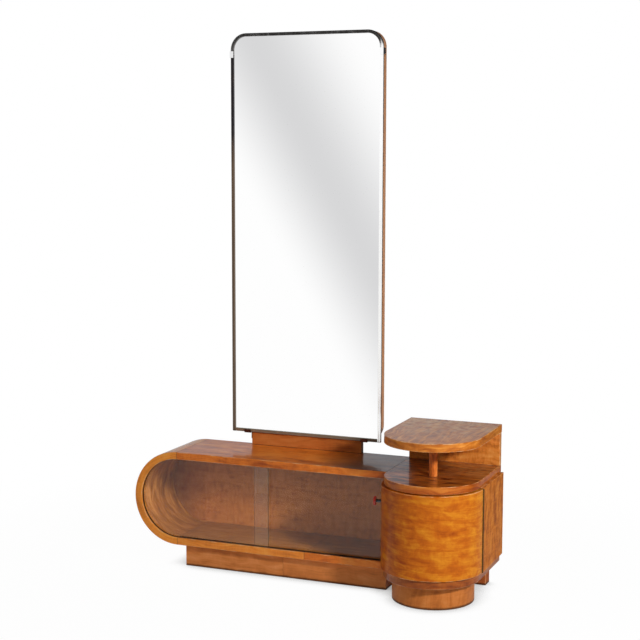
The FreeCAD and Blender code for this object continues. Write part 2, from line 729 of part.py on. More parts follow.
def base_clips():
    """Makes the two clips at the base board's ends: plate under the rail, hook in front, leg on the base."""
    clips = doc.addObject("Part::Compound", "base_clips")
    links = []
    rear = "case_depth - base_clip_setback"
    hook_face = f"({FRAME_Y} - frame_clip_play)"
    front = f"({hook_face} - base_clip_thickness)"
    under = f"({MIRROR_FOOT} - base_clip_thickness)"
    for side, sense in (("left", -1), ("right", 1)):
        end = f"({MIRROR_X} + {sense} * base_width / 2)"
        reach = f"({end} + {sense} * base_clip_length)"
        skin = f"({end} + {sense} * base_clip_thickness)"
        plate_x = (end, reach) if sense > 0 else (reach, end)
        leg_x = (end, skin) if sense > 0 else (skin, end)
        clip = doc.addObject("Part::MultiFuse", f"base_clip_{side}")
        clip.Shapes = [
            board(f"clip_plate_{side}", plate_x, (front, rear), (under, MIRROR_FOOT)),
            board(f"clip_hook_{side}", plate_x, (front, hook_face),
                  (under, f"{MIRROR_FOOT} + base_clip_hook")),
            board(f"clip_leg_{side}", leg_x, (BACKBOARD_Y, rear), (f"{under} - base_clip_leg", MIRROR_FOOT))]
        links.append(clip)
    clips.Links = links
    return clips


def batten(label, middle):
    """Makes one upright behind case and mirror, with a shoulder on which the backboard rests."""
    body = new_body(label)
    section = sketch_on(body, "YZ_Plane", f"{middle} - batten_width / 2")
    rear = "case_depth + batten_thickness"
    face = "case_depth + backboard_overhang"
    top = f"{CASE_TOP} + batten_rise"
    outline(section, [("case_depth", "plinth_height"), (rear, "plinth_height"), (rear, top), (face, top),
                      (face, MIRROR_FOOT), ("case_depth", MIRROR_FOOT)])
    extrude(body, section, "batten_width")
    return body


def mirror():
    """Makes the mirror: glass and reeded frame on a wooden backboard, with clips, base and battens."""
    rebate = "(frame_wall + mirror_glass_play)"
    corners, arcs = rounded_outline(f"({MIRROR_LEFT} + {rebate})", f"({MIRROR_RIGHT} - {rebate})",
                                    f"({MIRROR_FOOT} + {rebate})", f"({MIRROR_TOP} - {rebate})",
                                    f"(mirror_corner - {rebate})", False)
    face = f"{FRAME_Y} + reed_height + frame_lip + mirror_glass_play"
    keep(standing("mirror_glass", corners, arcs, "mirror_glass_thickness", face))
    corners, arcs = rounded_outline(f"({MIRROR_LEFT} + backboard_inset)",
                                    f"({MIRROR_RIGHT} - backboard_inset)",
                                    MIRROR_FOOT, f"({MIRROR_TOP} - backboard_inset)",
                                    "(mirror_corner - backboard_inset)", True)
    keep(standing("mirror_backboard", corners, arcs, "backboard_thickness", BACKBOARD_Y))
    keep(side_rail("frame_left_rail", MIRROR_LEFT, 1))
    keep(side_rail("frame_right_rail", MIRROR_RIGHT, -1))
    keep(bottom_rail())
    keep(top_bow())
    keep(frame_clip("frame_left_clip", MIRROR_LEFT, 1))
    keep(frame_clip("frame_right_clip", MIRROR_RIGHT, -1))
    keep(base_clips())
    keep(board("mirror_base", (f"{MIRROR_X} - base_width / 2", f"{MIRROR_X} + base_width / 2"),
               (BACKBOARD_Y, "case_depth"), (CASE_TOP, MIRROR_FOOT)))
    for label, sense in (("batten_left", -1), ("batten_right", 1)):
        keep(batten(label, f"{MIRROR_X} + {sense} * batten_spacing / 2"))


def case():
    """Makes the glazed case: boards, round end with its tongues, back panel and sliding panes."""
    keep(case_board("case_top_board", CEILING, "0", True))
    keep(case_board("case_bottom_board", "plinth_height", "board_thickness", False))
    keep(case_round_end())
    keep(end_joint_tongues())
    corners, arcs = round_ended(END_RADIUS, f"{END_INNER} - joint_play", "case_length")
    keep(standing("case_back_panel", corners, arcs, "back_thickness", "case_depth - back_thickness"))
    glass_panes()


case()
long_plinth()
keep(drum_plinth())
keep(board("rear_foot", (f"{DRUM_RIGHT} - foot_inset - foot_size", f"{DRUM_RIGHT} - foot_inset"),
           ("case_depth - foot_size", "case_depth"), ("0", "plinth_height")))
drum()
raised_shelf()
mirror()
doc.recompute()

for item in doc.Objects:
    if "Invalid" in item.State or "Error" in item.State:
        raise RuntimeError(f"{item.Label} did not rebuild: {item.State}")
for piece in pieces:
    if piece.Shape.isNull() or not piece.Shape.isValid() or not piece.Shape.Solids:
        raise RuntimeError(f"{piece.Label} has no sound solid")

os.makedirs("parts", exist_ok=True)
for piece in pieces:
    piece.Shape.exportStep(f"parts/{piece.Label}.step")
    print(f"{piece.Label}: {len(piece.Shape.Solids)} solid(s), {piece.Shape.Volume / 1000:.1f} cm3")
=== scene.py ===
"""Dressing table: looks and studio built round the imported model.

Sizes are design millimetres: x runs right from the left end of the case, y runs back from the case's front
plane and z runs up from the floor. in_frame() turns them into metres in the part's own frame.
"""
import logging
import math
from dataclasses import dataclass, replace
from enum import Enum
from typing import Any, Callable, Optional, Sequence

import bpy
import numpy as np
from mathutils import Matrix, Vector


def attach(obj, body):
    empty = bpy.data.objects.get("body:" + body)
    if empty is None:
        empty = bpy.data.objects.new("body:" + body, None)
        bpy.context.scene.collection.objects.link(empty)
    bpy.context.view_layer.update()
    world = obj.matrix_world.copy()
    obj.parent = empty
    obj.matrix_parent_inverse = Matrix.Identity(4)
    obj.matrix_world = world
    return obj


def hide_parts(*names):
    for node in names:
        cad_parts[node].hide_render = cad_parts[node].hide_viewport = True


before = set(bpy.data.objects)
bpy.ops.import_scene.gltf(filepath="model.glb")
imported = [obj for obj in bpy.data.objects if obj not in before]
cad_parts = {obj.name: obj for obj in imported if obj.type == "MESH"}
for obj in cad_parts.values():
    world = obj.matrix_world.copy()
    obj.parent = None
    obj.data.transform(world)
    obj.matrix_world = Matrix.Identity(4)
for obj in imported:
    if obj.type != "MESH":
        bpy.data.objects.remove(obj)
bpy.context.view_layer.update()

LOG = logging.getLogger("dressing_table")
Array = np.ndarray
Carry = Callable[[Array, Array, Array], Array]
Colour = tuple[float, float, float, float]
Screen = tuple[int, int, int]
Pair = tuple[float, float]
Place = tuple[float, float, float]
Socket = bpy.types.NodeSocket

# The part's frame: design millimetres to its origin.
MM_PER_METRE = 1000.0
HALF_WIDTH = 627.75
MID_DEPTH = 49.5

# Meshes: a short support point keeps a flat side flat beside each rounding.
SUPPORT = 0.5
LEAST_FLAT = 4 * SUPPORT
LARGEST_ARRIS = 10.0
END_ROWS = 4
END_FACES = 2
NEAR = 0.1
SEED_STEP = np.array([0.733, 0.419])
SHARP_ANGLE = math.radians(38.0)
GRAIN_MAP = "grain"
ARRIS = "arris"
STAIN = "stain"

# Ends of a remapped range.
RISING = (0.0, 1.0)
FALLING = (1.0, 0.0)


class Body(Enum):
    """The bodies that the drawn pieces ride on."""

    TABLE = "table"
    DOOR = "door"


class Grain(Enum):
    """How the grain lies on a swept piece."""

    ALONG = "along the path"
    ROUND = "round the outline"


class Axis(Enum):
    """The axis along which tarnish grows; on the frame's bow the same mask paints dark reflection."""

    ACROSS = 0
    UP = 2


class Coordinates(Enum):
    """Where a wood pattern takes its coordinates from."""

    MAP = "the piece's own grain map"
    LENGTHWISE = "object coordinates, grain along x"
    UPRIGHT = "object coordinates, grain along z"


class Kind(Enum):
    """The kinds of socket on a node group."""

    COLOUR = "NodeSocketColor"
    VALUE = "NodeSocketFloat"
    VECTOR = "NodeSocketVector"


def in_frame(x: Array, y: Array, z: Array) -> Array:
    """Turns design millimetres into metres in the part's frame.

    Args:
        x, y, z: Arrays of one shape, in the design axes.

    Returns:
        Points with a last axis of three: (x - half width, y - middle depth, z) / 1000.
    """
    x, y, z = np.broadcast_arrays(x, y, z)
    return np.stack([x - HALF_WIDTH, y - MID_DEPTH, z], axis=-1) / MM_PER_METRE


def colour(screen: Screen) -> Colour:
    """Turns a colour on screen into a linear one, by the sRGB formula.

    Args:
        screen: Red, green and blue from 0 to 255.

    Returns:
        Linear red, green and blue, and an alpha of 1.
    """
    share = np.array(screen) / 255.0
    linear = np.where(share <= 0.04045, share / 12.92, ((share + 0.055) / 1.055) ** 2.4)
    return (float(linear[0]), float(linear[1]), float(linear[2]), 1.0)


@dataclass(frozen=True)
class Ring:
    """A closed outline, anticlockwise, with outward normals, a mark on its rounded edges and a darkening
    that carries stains and painted shade.
    """

    points: Array
    normals: Array
    arris: Array
    stain: Optional[Array] = None

    @classmethod
    def polygon(cls, corners: Sequence[Pair], radii: float | Sequence[float] = 0.0,
                steps: int | Sequence[int] = 4) -> "Ring":
        """Rounds a polygon's corners.

        A rounded corner is an arc about the point that lies one radius inside both sides, between the two
        sides' normals. A short point beside each arc keeps the flat sides flat. A corner of radius 0 stays
        sharp, and its normal is lengthened so that an inset along it keeps its distance.

        Args:
            corners: Corner points, anticlockwise.
            radii: One radius, or one for each corner.
            steps: Segments of each arc, one count or one for each corner.

        Returns:
            The rounded outline.
        """
        corner = np.asarray(corners, float)
        radius = np.broadcast_to(np.asarray(radii, float), len(corner))
        count = np.broadcast_to(np.asarray(steps, int), len(corner))
        side = np.roll(corner, -1, axis=0) - corner
        length = np.linalg.norm(side, axis=1)
        out = side / length[:, None]
        into = np.roll(out, 1, axis=0)
        last = np.stack([out[:, 1], -out[:, 0]], axis=1)
        first = np.roll(last, 1, axis=0)
        turn = np.arctan2(into[:, 0] * out[:, 1] - into[:, 1] * out[:, 0], np.sum(into * out, axis=1))
        mitre = (first + last) / (1.0 + np.sum(first * last, axis=1))[:, None]
        reach = np.where(turn > 0, radius * np.tan(np.abs(turn) / 2), 0.0)
        flat = length - reach - np.roll(reach, -1)
        runs = [cls._corner(corner[i], radius[i], int(count[i]), into[i], out[i], first[i], mitre[i],
                            turn[i], flat[i - 1], flat[i]) for i in range(len(corner))]
        return cls(*(np.concatenate(part) for part in zip(*runs)))

    @staticmethod
    def _corner(corner: Array, radius: float, steps: int, into: Array, out: Array, first: Array,
                mitre: Array, turn: float, flat_before: float,
                flat_after: float) -> tuple[Array, Array, Array]:
        """Rounds one corner, as polygon() describes.

        Args:
            corner: The corner point.
            radius: The arc's radius.
            steps: The arc's segments.
            into, out: Directions of the sides before and after the corner.
            first: The normal of the side before.
            mitre: The lengthened normal of the sharp corner.
            turn: The angle between the sides.
            flat_before, flat_after: What is left of each side between its arcs.

        Returns:
            Points, normals and edge marks.
        """
        if radius <= 0 or turn <= 0:
            return corner[None], mitre[None], np.zeros(1)
        angle = math.atan2(first[1], first[0]) + np.linspace(0.0, turn, steps + 1)
        normals = np.stack([np.cos(angle), np.sin(angle)], axis=1)
        points = corner - radius * mitre + radius * normals
        marks = np.full(steps + 1, float(radius < LARGEST_ARRIS))
        lead = [points[:1] - into * SUPPORT] if flat_before > LEAST_FLAT else []
        trail = [points[-1:] + out * SUPPORT] if flat_after > LEAST_FLAT else []
        more = (len(lead), len(trail))
        return (np.concatenate([*lead, points, *trail]), np.pad(normals, (more, (0, 0)), mode="edge"),
                np.pad(marks, more))

    @classmethod
    def circle(cls, radius: float, steps: int) -> "Ring":
        """Gives a circle about the origin, with points at even angles.

        Args:
            radius: Its radius.
            steps: How many points it has.

        Returns:
            The circle.
        """
        angle = np.linspace(0.0, 2 * math.pi, steps, endpoint=False)
        normals = np.stack([np.cos(angle), np.sin(angle)], axis=1)
        return cls(radius * normals, normals, np.zeros(steps))

    def stained(self, stain: Array) -> "Ring":
        """Gives the same outline with a darkening at each point, which carries stains and painted shade."""
        return replace(self, stain=stain)

    def girth(self) -> Array:
        """Gives the distance round the outline at each point, and at the first point again."""
        step = np.linalg.norm(np.roll(self.points, -1, axis=0) - self.points, axis=1)
        return np.concatenate([[0.0], np.cumsum(step)])


@dataclass
class Shell:
    """The mesh of one closed piece: points in metres, faces, grain coordinates, edge marks and a darkening
    for stains and painted shade.
    """

    points: Array
    faces: list[list[int]]
    grain: Array
    arris: Array
    stain: Array

    def joined(self, other: "Shell") -> "Shell":
        """Gives one mesh of this shell and another beside it.

        Args:
            other: The other shell, whose points and faces come last.

        Returns:
            The joined mesh.
        """
        shift = len(self.points)
        faces = self.faces + [[corner + shift for corner in face] for face in other.faces]
        parts = [np.concatenate(pair) for pair in ((self.points, other.points), (self.grain, other.grain),
                                                   (self.arris, other.arris), (self.stain, other.stain))]
        return Shell(parts[0], faces, *parts[1:])

    def outwards(self) -> "Shell":
        """Turns every face round if the enclosed volume, summed over face fans, comes out negative.

        Returns:
            The same shell.
        """
        volume = 0.0
        for face in self.faces:
            corner = self.points[face]
            volume += float(np.sum(np.cross(corner[1:-1], corner[2:]) @ corner[0]))
        if volume < 0:
            starts = np.cumsum([0] + [len(face) for face in self.faces])
            order = np.concatenate([np.arange(a, b)[::-1] for a, b in zip(starts[:-1], starts[1:])])
            self.faces = [face[::-1] for face in self.faces]
            self.grain = self.grain[order]
        return self


def rounded_end(radius: float) -> tuple[Array, Array]:
    """Gives the rows of one rounded end, from the end face on.

    The rows follow a quarter circle: inset r (1 - sin q) and distance r (1 - cos q), for q from 0 to 90
    degrees, with a support row on the end face and another on the side.

    Args:
        radius: The rounding's radius.

    Returns:
        The rows' insets and their distances from the end face.
    """
    q = np.linspace(0.0, math.pi / 2, END_ROWS)
    inset = np.concatenate([[radius + SUPPORT], radius * (1 - np.sin(q)), [0.0]])
    reach = np.concatenate([[0.0], radius * (1 - np.cos(q)), [radius + SUPPORT]])
    return inset, reach


def path_rows(length: float, ends: Pair, sections: int) -> tuple[Array, Array, Array]:
    """Gives the rows of a path with two rounded ends.

    Args:
        length: The path's length.
        ends: The rounding radius at the start and at the end.
        sections: Rows along the path between the ends.

    Returns:
        Distances along the path, insets, and marks on the rounded rows.
    """
    head_inset, head = rounded_end(ends[0])
    tail_inset, reach = rounded_end(ends[1])
    tail = length - reach[::-1]
    plain = np.zeros(sections - 1)
    s = np.concatenate([head, np.linspace(head[-1], tail[0], sections + 1)[1:-1], tail])
    inset = np.concatenate([head_inset, plain, tail_inset[::-1]])
    end_mark = np.concatenate([[0.0], np.ones(END_ROWS), [0.0]])
    return s, inset, np.concatenate([end_mark, plain, end_mark])


def corner_grain(path: Array, girth: Array, grain: Grain) -> Array:
    """Gives the grain coordinates at the four corners of each quad of a grid.

    Args:
        path: Distance along the path at each row.
        girth: Distance round the outline at each point, and at the first point again.
        grain: Whether the grain runs along the path or round the outline.

    Returns:
        Pairs of distances, along the grain and across it.
    """
    low, near = np.meshgrid(path[:-1], girth[:-1], indexing="ij")
    high, far = np.meshgrid(path[1:], girth[1:], indexing="ij")
    along = np.stack([low, low, high, high], axis=-1)
    across = np.stack([near, far, far, near], axis=-1)
    pair = (along, across) if grain is Grain.ALONG else (across, along)
    return np.stack(pair, axis=-1).reshape(-1, 2)


def sweep(ring: Ring, carry: Carry, length: float, ends: Pair = (0.8, 0.8), sections: int = 1,
          grain: Grain = Grain.ALONG, closed: bool = False, turned_cap: bool = False, seed: float = 0.0,
          cap_stain: float = 0.0, seams: Pair = (0.0, 0.0)) -> Shell:
    """Carries an outline along a path and rounds its two ends.

    Row i of the grid is the outline, inset by d and at distance s along the path, and rounded_end() gives d
    and s at the ends.

    Args:
        ring: The outline.
        carry: Gives points in metres for arrays of outline coordinates and path distances.
        length: The path's length in millimetres.
        ends: The rounding radius at the start and at the end.
        sections: Rows along the path between the ends.
        grain: Whether the grain runs along the path or round the outline.
        closed: Whether the path comes back to its start, without end faces.
        turned_cap: Whether the end faces have their grain along the outline's second axis.
        seed: Moves the pattern, so that pieces differ.
        cap_stain: How dark the two end faces are made.
        seams: How dark the joints at the start and at the end are. A darkened joint carries no edge wear and
            no painted highlight.

    Returns:
        The closed mesh.
    """
    if closed:
        s = np.linspace(0.0, length, sections, endpoint=False)
        inset = mark = np.zeros(sections)
    else:
        s, inset, mark = path_rows(length, ends, sections)
    a = ring.points[None, :, 0] - inset[:, None] * ring.normals[None, :, 0]
    b = ring.points[None, :, 1] - inset[:, None] * ring.normals[None, :, 1]
    points = carry(a, b, np.broadcast_to(s[:, None], a.shape))
    index = np.arange(a.size).reshape(a.shape)
    below = index if closed else index[:-1]
    above = np.roll(index, -1, axis=0) if closed else index[1:]
    quads = np.stack([below, np.roll(below, -1, 1), np.roll(above, -1, 1), above], axis=-1)
    faces = quads.reshape(-1, 4).tolist()
    uv = [corner_grain(np.append(s, length) if closed else s, ring.girth(), grain)]
    if not closed:
        order = np.arange(len(ring.points))
        for row, turn in ((0, order[::-1]), (len(s) - 1, order)):
            faces.append(index[row][turn].tolist())
            cap = np.stack([a[row], b[row]], axis=1)[turn]
            uv.append(cap[:, ::-1] if turned_cap else cap)
    marks = np.maximum(ring.arris[None], mark[:, None])
    grain_uv = np.concatenate(uv) / MM_PER_METRE + seed * SEED_STEP
    stain = np.zeros(a.shape) if ring.stain is None else np.broadcast_to(ring.stain, a.shape).copy()
    if cap_stain > 0:
        stain[[0, -1]] = cap_stain
    for rows, seam in ((slice(0, END_ROWS + 1), seams[0]), (slice(-END_ROWS - 1, None), seams[1])):
        if seam > 0:
            stain[rows] = seam
            marks[rows] = 0.0
    return Shell(points.reshape(-1, 3), faces, grain_uv, marks.reshape(-1), stain.reshape(-1)).outwards()


def along_x(start: float) -> Carry:
    """Carries an outline in (y, z) to the right from x = start."""
    return lambda a, b, s: in_frame(start + s, a, b)


def along_y(start: float) -> Carry:
    """Carries an outline in (x, z) backwards from y = start."""
    return lambda a, b, s: in_frame(a, start + s, b)


def along_z(start: float) -> Carry:
    """Carries an outline in (x, y) upwards from z = start."""
    return lambda a, b, s: in_frame(a, b, start + s)


def rectangle(low_a: float, high_a: float, low_b: float, high_b: float) -> list[Pair]:
    """Lists a rectangle's corners, anticlockwise."""
    return [(low_a, low_b), (high_a, low_b), (high_a, high_b), (low_a, high_b)]


@dataclass(frozen=True)
class Noise:
    """A kind of noise: repeats in a metre along x, y and z, detail, roughness and distortion."""

    repeats: Place
    detail: float = 2.0
    rough: float = 0.5
    distortion: float = 0.0

    @classmethod
    def even(cls, repeats: float, *rest: float) -> "Noise":
        """Gives a noise with the same repeats along each axis."""
        return cls((repeats, repeats, repeats), *rest)


SWAY_NOISE = Noise((5.0, 7.0, 7.0))
FLAME_NOISE = Noise((11.0, 46.0, 46.0), 2.5, 0.5, 0.9)
MOTTLE_NOISE = Noise((27.0, 36.0, 36.0), 4.5, 0.66, 0.6)
LINE_NOISE = Noise((3.5, 190.0, 190.0), 4.0, 0.6, 0.3)
RIPPLE_NOISE = Noise((105.0, 24.0, 24.0), 2.0, 0.5, 0.9)
PORE_NOISE = Noise((150.0, 1500.0, 1500.0), 1.0)
WEAR_NOISE = Noise.even(38.0, 3.0, 0.6)
WIPE_NOISE = Noise((6.0, 9.0, 7.0), 3.0, 0.6, 0.6)
SMEAR_NOISE = Noise((60.0, 34.0, 48.0))
GRIME_NOISE = Noise.even(30.0, 3.0)
CLOUD_NOISE = Noise((60.0, 60.0, 14.0), 4.0, 0.65)
PIT_NOISE = Noise.even(700.0)
SWIRL_NOISE = Noise.even(90.0, 3.0, 0.5, 1.5)
SPECK_NOISE = Noise.even(420.0, 1.0)
FLOOR_NOISE = Noise.even(1.4, 3.0)


class Net:
    """Adds nodes to a shader tree and wires them."""

    def __init__(self, tree: bpy.types.NodeTree) -> None:
        """Keeps the tree that the nodes go into."""
        self.tree = tree

    def feed(self, node: bpy.types.Node, inputs: dict[Any, Any]) -> None:
        """Fills a node's inputs.

        Args:
            node: The node.
            inputs: Values or output sockets by input name or number.
        """
        for name, given in inputs.items():
            if isinstance(given, Socket):
                self.tree.links.new(given, node.inputs[name])
            else:
                node.inputs[name].default_value = given

    def add(self, kind: str, inputs: Optional[dict[Any, Any]] = None, **settings: Any) -> bpy.types.Node:
        """Adds one node.

        Args:
            kind: The node's type without its ShaderNode prefix.
            inputs: Values or output sockets by input name or number.
            settings: Properties of the node itself.

        Returns:
            The node.
        """
        node = self.tree.nodes.new("ShaderNode" + kind)
        for name, setting in settings.items():
            setattr(node, name, setting)
        self.feed(node, inputs or {})
        return node

    def math(self, operation: str, first: Any, second: Any, clamp: bool = False) -> Socket:
        """Works out one sum on two values."""
        return self.add("Math", {0: first, 1: second}, operation=operation, use_clamp=clamp).outputs[0]

    def plus(self, first: Any, second: Any, clamp: bool = False) -> Socket:
        """Adds two values."""
        return self.math("ADD", first, second, clamp)

    def less(self, first: Any, second: Any, clamp: bool = False) -> Socket:
        """Takes the second value from the first."""
        return self.math("SUBTRACT", first, second, clamp)

    def times(self, first: Any, second: Any, clamp: bool = False) -> Socket:
        """Multiplies two values."""
        return self.math("MULTIPLY", first, second, clamp)

    def vector(self, operation: str, first: Any, second: Any) -> Socket:
        """Works out one sum on two vectors."""
        return self.add("VectorMath", {0: first, 1: second}, operation=operation).outputs[0]

    def lean(self, way: Socket, axis: Array) -> Socket:
        """Gives the cosine between a direction and a fixed axis."""
        return self.add("VectorMath", {0: way, 1: tuple(axis)}, operation="DOT_PRODUCT").outputs["Value"]

    def parts(self, vector: Socket) -> Any:
        """Gives a vector's x, y and z sockets."""
        return self.add("SeparateXYZ", {0: vector}).outputs

    def mark(self, attribute: str) -> Socket:
        """Reads one of the mesh's own marks."""
        return self.add("Attribute", attribute_name=attribute).outputs["Fac"]

    def mix(self, factor: Any, first: Any, second: Any) -> Socket:
        """Mixes two colours."""
        return self.add("Mix", {0: factor, 6: first, 7: second}, data_type="RGBA").outputs[2]

    def noise(self, vector: Socket, kind: Noise, scale: Any = 1.0) -> Socket:
        """Adds a noise.

        Args:
            vector: Where the noise is read, in metres.
            kind: The kind of noise.
            scale: How much finer than its kind it is.

        Returns:
            A value about 0.5.
        """
        stretched = self.vector("MULTIPLY", vector, kind.repeats)
        inputs = {"Vector": stretched, "Scale": scale, "Detail": kind.detail, "Roughness": kind.rough,
                  "Distortion": kind.distortion}
        return self.add("TexNoise", inputs).outputs["Fac"]

    def remap(self, value: Any, limits: tuple[Any, Any], ends: tuple[Any, Any] = RISING,
              smooth: bool = True) -> Socket:
        """Maps a range of values onto another and holds the ends.

        Args:
            value: The value.
            limits: The range that it comes from.
            ends: What the two limits become.
            smooth: Whether the change is eased at both ends.

        Returns:
            The new value.
        """
        inputs = {0: value, 1: limits[0], 2: limits[1], 3: ends[0], 4: ends[1]}
        easing = "SMOOTHSTEP" if smooth else "LINEAR"
        return self.add("MapRange", inputs, interpolation_type=easing).outputs[0]

    def group(self, tree: bpy.types.NodeTree, **inputs: Any) -> Any:
        """Places a node group with its own values and gives its outputs."""
        return self.add("Group", inputs, node_tree=tree).outputs


def each(kind: Kind, *names: str) -> dict[str, Kind]:
    """Lists several sockets of one kind."""
    return {name: kind for name in names}


def node_group(name: str, inputs: dict[str, Kind], outputs: dict[str, Kind],
               fill: Callable[[Net, Any], dict[str, Socket]]) -> bpy.types.NodeTree:
    """Makes a shader node group once and hands out the same one afterwards.

    Args:
        name: The group's name.
        inputs: The kind of each input.
        outputs: The kind of each output.
        fill: Builds the inside from the group's input sockets and returns the output sockets by name.

    Returns:
        The group's tree.
    """
    known = bpy.data.node_groups.get(name)
    if known:
        return known
    tree = bpy.data.node_groups.new(name, "ShaderNodeTree")
    for way, sockets in (("INPUT", inputs), ("OUTPUT", outputs)):
        for label, kind in sockets.items():
            tree.interface.new_socket(label, in_out=way, socket_type=kind.value)
    source = tree.nodes.new("NodeGroupInput")
    sink = tree.nodes.new("NodeGroupOutput")
    net = Net(tree)
    net.feed(sink, fill(net, source.outputs))
    return tree


def figured_veneer_group() -> bpy.types.NodeTree:
    """Makes the veneer pattern.

    The grain vector runs along x in metres. A slow noise and a slant bend it sideways. Long stretched noise
    gives the growth lines, shorter stretched noise the flames, even noise the mottle, noise stretched across
    the grain the ripple, and sharp fine noise the pores. Their weighted sum, to which a slope along the
    grain adds painted light and shade, picks a colour between dark, middle and pale.

    Returns:
        The group, with the outputs Colour and Height.
    """
    middle = 0.5
    drift_centre = 0.26
    dark_limits, pale_limits, pore_limits = (0.1, middle), (middle, 0.9), (0.62, 0.72)
    line_height, pore_depth = 0.35, 0.5

    def fill(net: Net, given: Any) -> dict[str, Socket]:
        """Wires the pattern.

        Args:
            net: The group's net.
            given: The group's input sockets by name.

        Returns:
            The output sockets by name.
        """
        along = net.parts(given["Vector"])[0]
        sway = net.times(net.less(net.noise(given["Vector"], SWAY_NOISE), middle), given["Sway"])
        sway = net.plus(sway, net.times(along, given["Slant"]))
        bent = net.vector("ADD", given["Vector"], net.add("CombineXYZ", {1: sway}).outputs[0])
        lines = net.noise(bent, LINE_NOISE)
        weighted = {"Flame": net.noise(bent, FLAME_NOISE, given["Fineness"]),
                    "Mottle": net.noise(bent, MOTTLE_NOISE, given["Fineness"]),
                    "Streak": lines, "Ripple": net.noise(bent, RIPPLE_NOISE)}
        tone: Any = middle
        for weight, part in weighted.items():
            tone = net.plus(tone, net.times(net.less(part, middle), given[weight]))
        tone = net.plus(tone, net.times(net.less(along, drift_centre), given["Drift"]))
        deep = net.mix(net.remap(tone, dark_limits, smooth=False), given["Dark"], given["Middle"])
        whole = net.mix(net.remap(tone, pale_limits, smooth=False), deep, given["Pale"])
        pore = net.remap(net.noise(bent, PORE_NOISE), pore_limits)
        return {"Colour": net.mix(net.times(pore, given["Pores"]), whole, given["Dark"]),
                "Height": net.less(net.times(lines, line_height), net.times(pore, pore_depth))}

    inputs = {"Vector": Kind.VECTOR, **each(Kind.COLOUR, "Pale", "Middle", "Dark"),
              **each(Kind.VALUE, "Streak", "Ripple", "Flame", "Mottle", "Slant", "Fineness", "Sway", "Pores",
                     "Drift")}
    return node_group("figured veneer", inputs, {"Colour": Kind.COLOUR, "Height": Kind.VALUE}, fill)


def edge_wear_group() -> bpy.types.NodeTree:
    """Makes edge wear and painted highlights: the marked edges, broken up by noise, move towards a pale worn
    colour that also stands in for the light the rounded edges catch.

    Returns:
        The group, with the output Colour.
    """
    patch_limits = (0.35, 0.7)

    def fill(net: Net, given: Any) -> dict[str, Socket]:
        """Wires the mask of wear and painted highlight.

        Args:
            net: The group's net.
            given: The group's input sockets by name.

        Returns:
            The output sockets by name.
        """
        mask = net.times(given["Edge"], net.remap(net.noise(given["Place"], WEAR_NOISE), patch_limits))
        amount = net.times(mask, given["Amount"], clamp=True)
        return {"Colour": net.mix(amount, given["Colour"], given["Worn"])}

    inputs = {**each(Kind.COLOUR, "Colour", "Worn"), "Place": Kind.VECTOR,
              **each(Kind.VALUE, "Edge", "Amount")}
    return node_group("edge wear", inputs, {"Colour": Kind.COLOUR}, fill)


def handling_group() -> bpy.types.NodeTree:
    """Makes handling marks: cloudy wipes and finer smears that raise the roughness.

    Returns:
        The group, with the output Roughness.
    """
    wipe_share, smear_share = 0.7, 0.3
    mark_limits = (0.3, 0.75)

    def fill(net: Net, given: Any) -> dict[str, Socket]:
        """Wires the wipes and smears.

        Args:
            net: The group's net.
            given: The group's input sockets by name.

        Returns:
            The output sockets by name.
        """
        wipes = net.times(net.noise(given["Place"], WIPE_NOISE), wipe_share)
        smears = net.times(net.noise(given["Place"], SMEAR_NOISE), smear_share)
        rise = net.times(net.remap(net.plus(wipes, smears), mark_limits), given["Amount"])
        return {"Roughness": net.plus(given["Roughness"], rise, clamp=True)}

    inputs = {"Place": Kind.VECTOR, **each(Kind.VALUE, "Roughness", "Amount")}
    return node_group("handling marks", inputs, {"Roughness": Kind.VALUE}, fill)


def floor_grime_group() -> bpy.types.NodeTree:
    """Makes a painted shadow along the floor line: dark on the lowest few millimetres, fading upwards with a
    ragged edge.

    Returns:
        The group, with the output Colour.
    """
    ragged_height = 0.006
    grime_limits = (0.0, 0.007)

    def fill(net: Net, given: Any) -> dict[str, Socket]:
        """Wires the fade with height.

        Args:
            net: The group's net.
            given: The group's input sockets by name.

        Returns:
            The output sockets by name.
        """
        ragged = net.times(net.noise(given["Place"], GRIME_NOISE), ragged_height)
        mask = net.remap(net.less(net.parts(given["Place"])[2], ragged), grime_limits, FALLING)
        return {"Colour": net.mix(net.times(mask, given["Amount"]), given["Colour"], given["Grime"])}

    inputs = {**each(Kind.COLOUR, "Colour", "Grime"), "Place": Kind.VECTOR, "Amount": Kind.VALUE}
    return node_group("floor grime", inputs, {"Colour": Kind.COLOUR}, fill)


def tarnish_group() -> bpy.types.NodeTree:
    """Makes tarnish on plated metal, which on the mirror frame also paints dark reflection: cloudy patches
    that grow between two levels, and fine pitting.

    Returns:
        The group, with the outputs Colour, Roughness and Height.
    """
    level_share, cloud_share = 0.55, 0.9
    stain_limits, pit_limits = (0.45, 1.05), (0.64, 0.74)
    pit_strength = 0.4
    stain_dulling, pit_dulling = 0.25, 0.2

    def fill(net: Net, given: Any) -> dict[str, Socket]:
        """Wires patches, pits and the fade with the level.

        Args:
            net: The group's net.
            given: The group's input sockets by name.

        Returns:
            The output sockets by name.
        """
        grown = net.times(net.remap(given["Level"], (given["Full"], given["Clear"]), FALLING), level_share)
        cloud = net.times(net.noise(given["Place"], CLOUD_NOISE), cloud_share)
        mask = net.times(net.remap(net.plus(grown, cloud), stain_limits), given["Amount"], clamp=True)
        pit = net.times(net.remap(net.noise(given["Place"], PIT_NOISE), pit_limits), pit_strength)
        stained = net.mix(mask, given["Bright"], given["Stain"])
        return {"Colour": net.mix(pit, stained, given["Stain"]), "Height": pit,
                "Roughness": net.plus(net.times(mask, stain_dulling), net.times(pit, pit_dulling))}

    inputs = {"Place": Kind.VECTOR, **each(Kind.COLOUR, "Bright", "Stain"),
              **each(Kind.VALUE, "Level", "Amount", "Full", "Clear")}
    outputs = {"Colour": Kind.COLOUR, **each(Kind.VALUE, "Roughness", "Height")}
    return node_group("tarnish", inputs, outputs, fill)


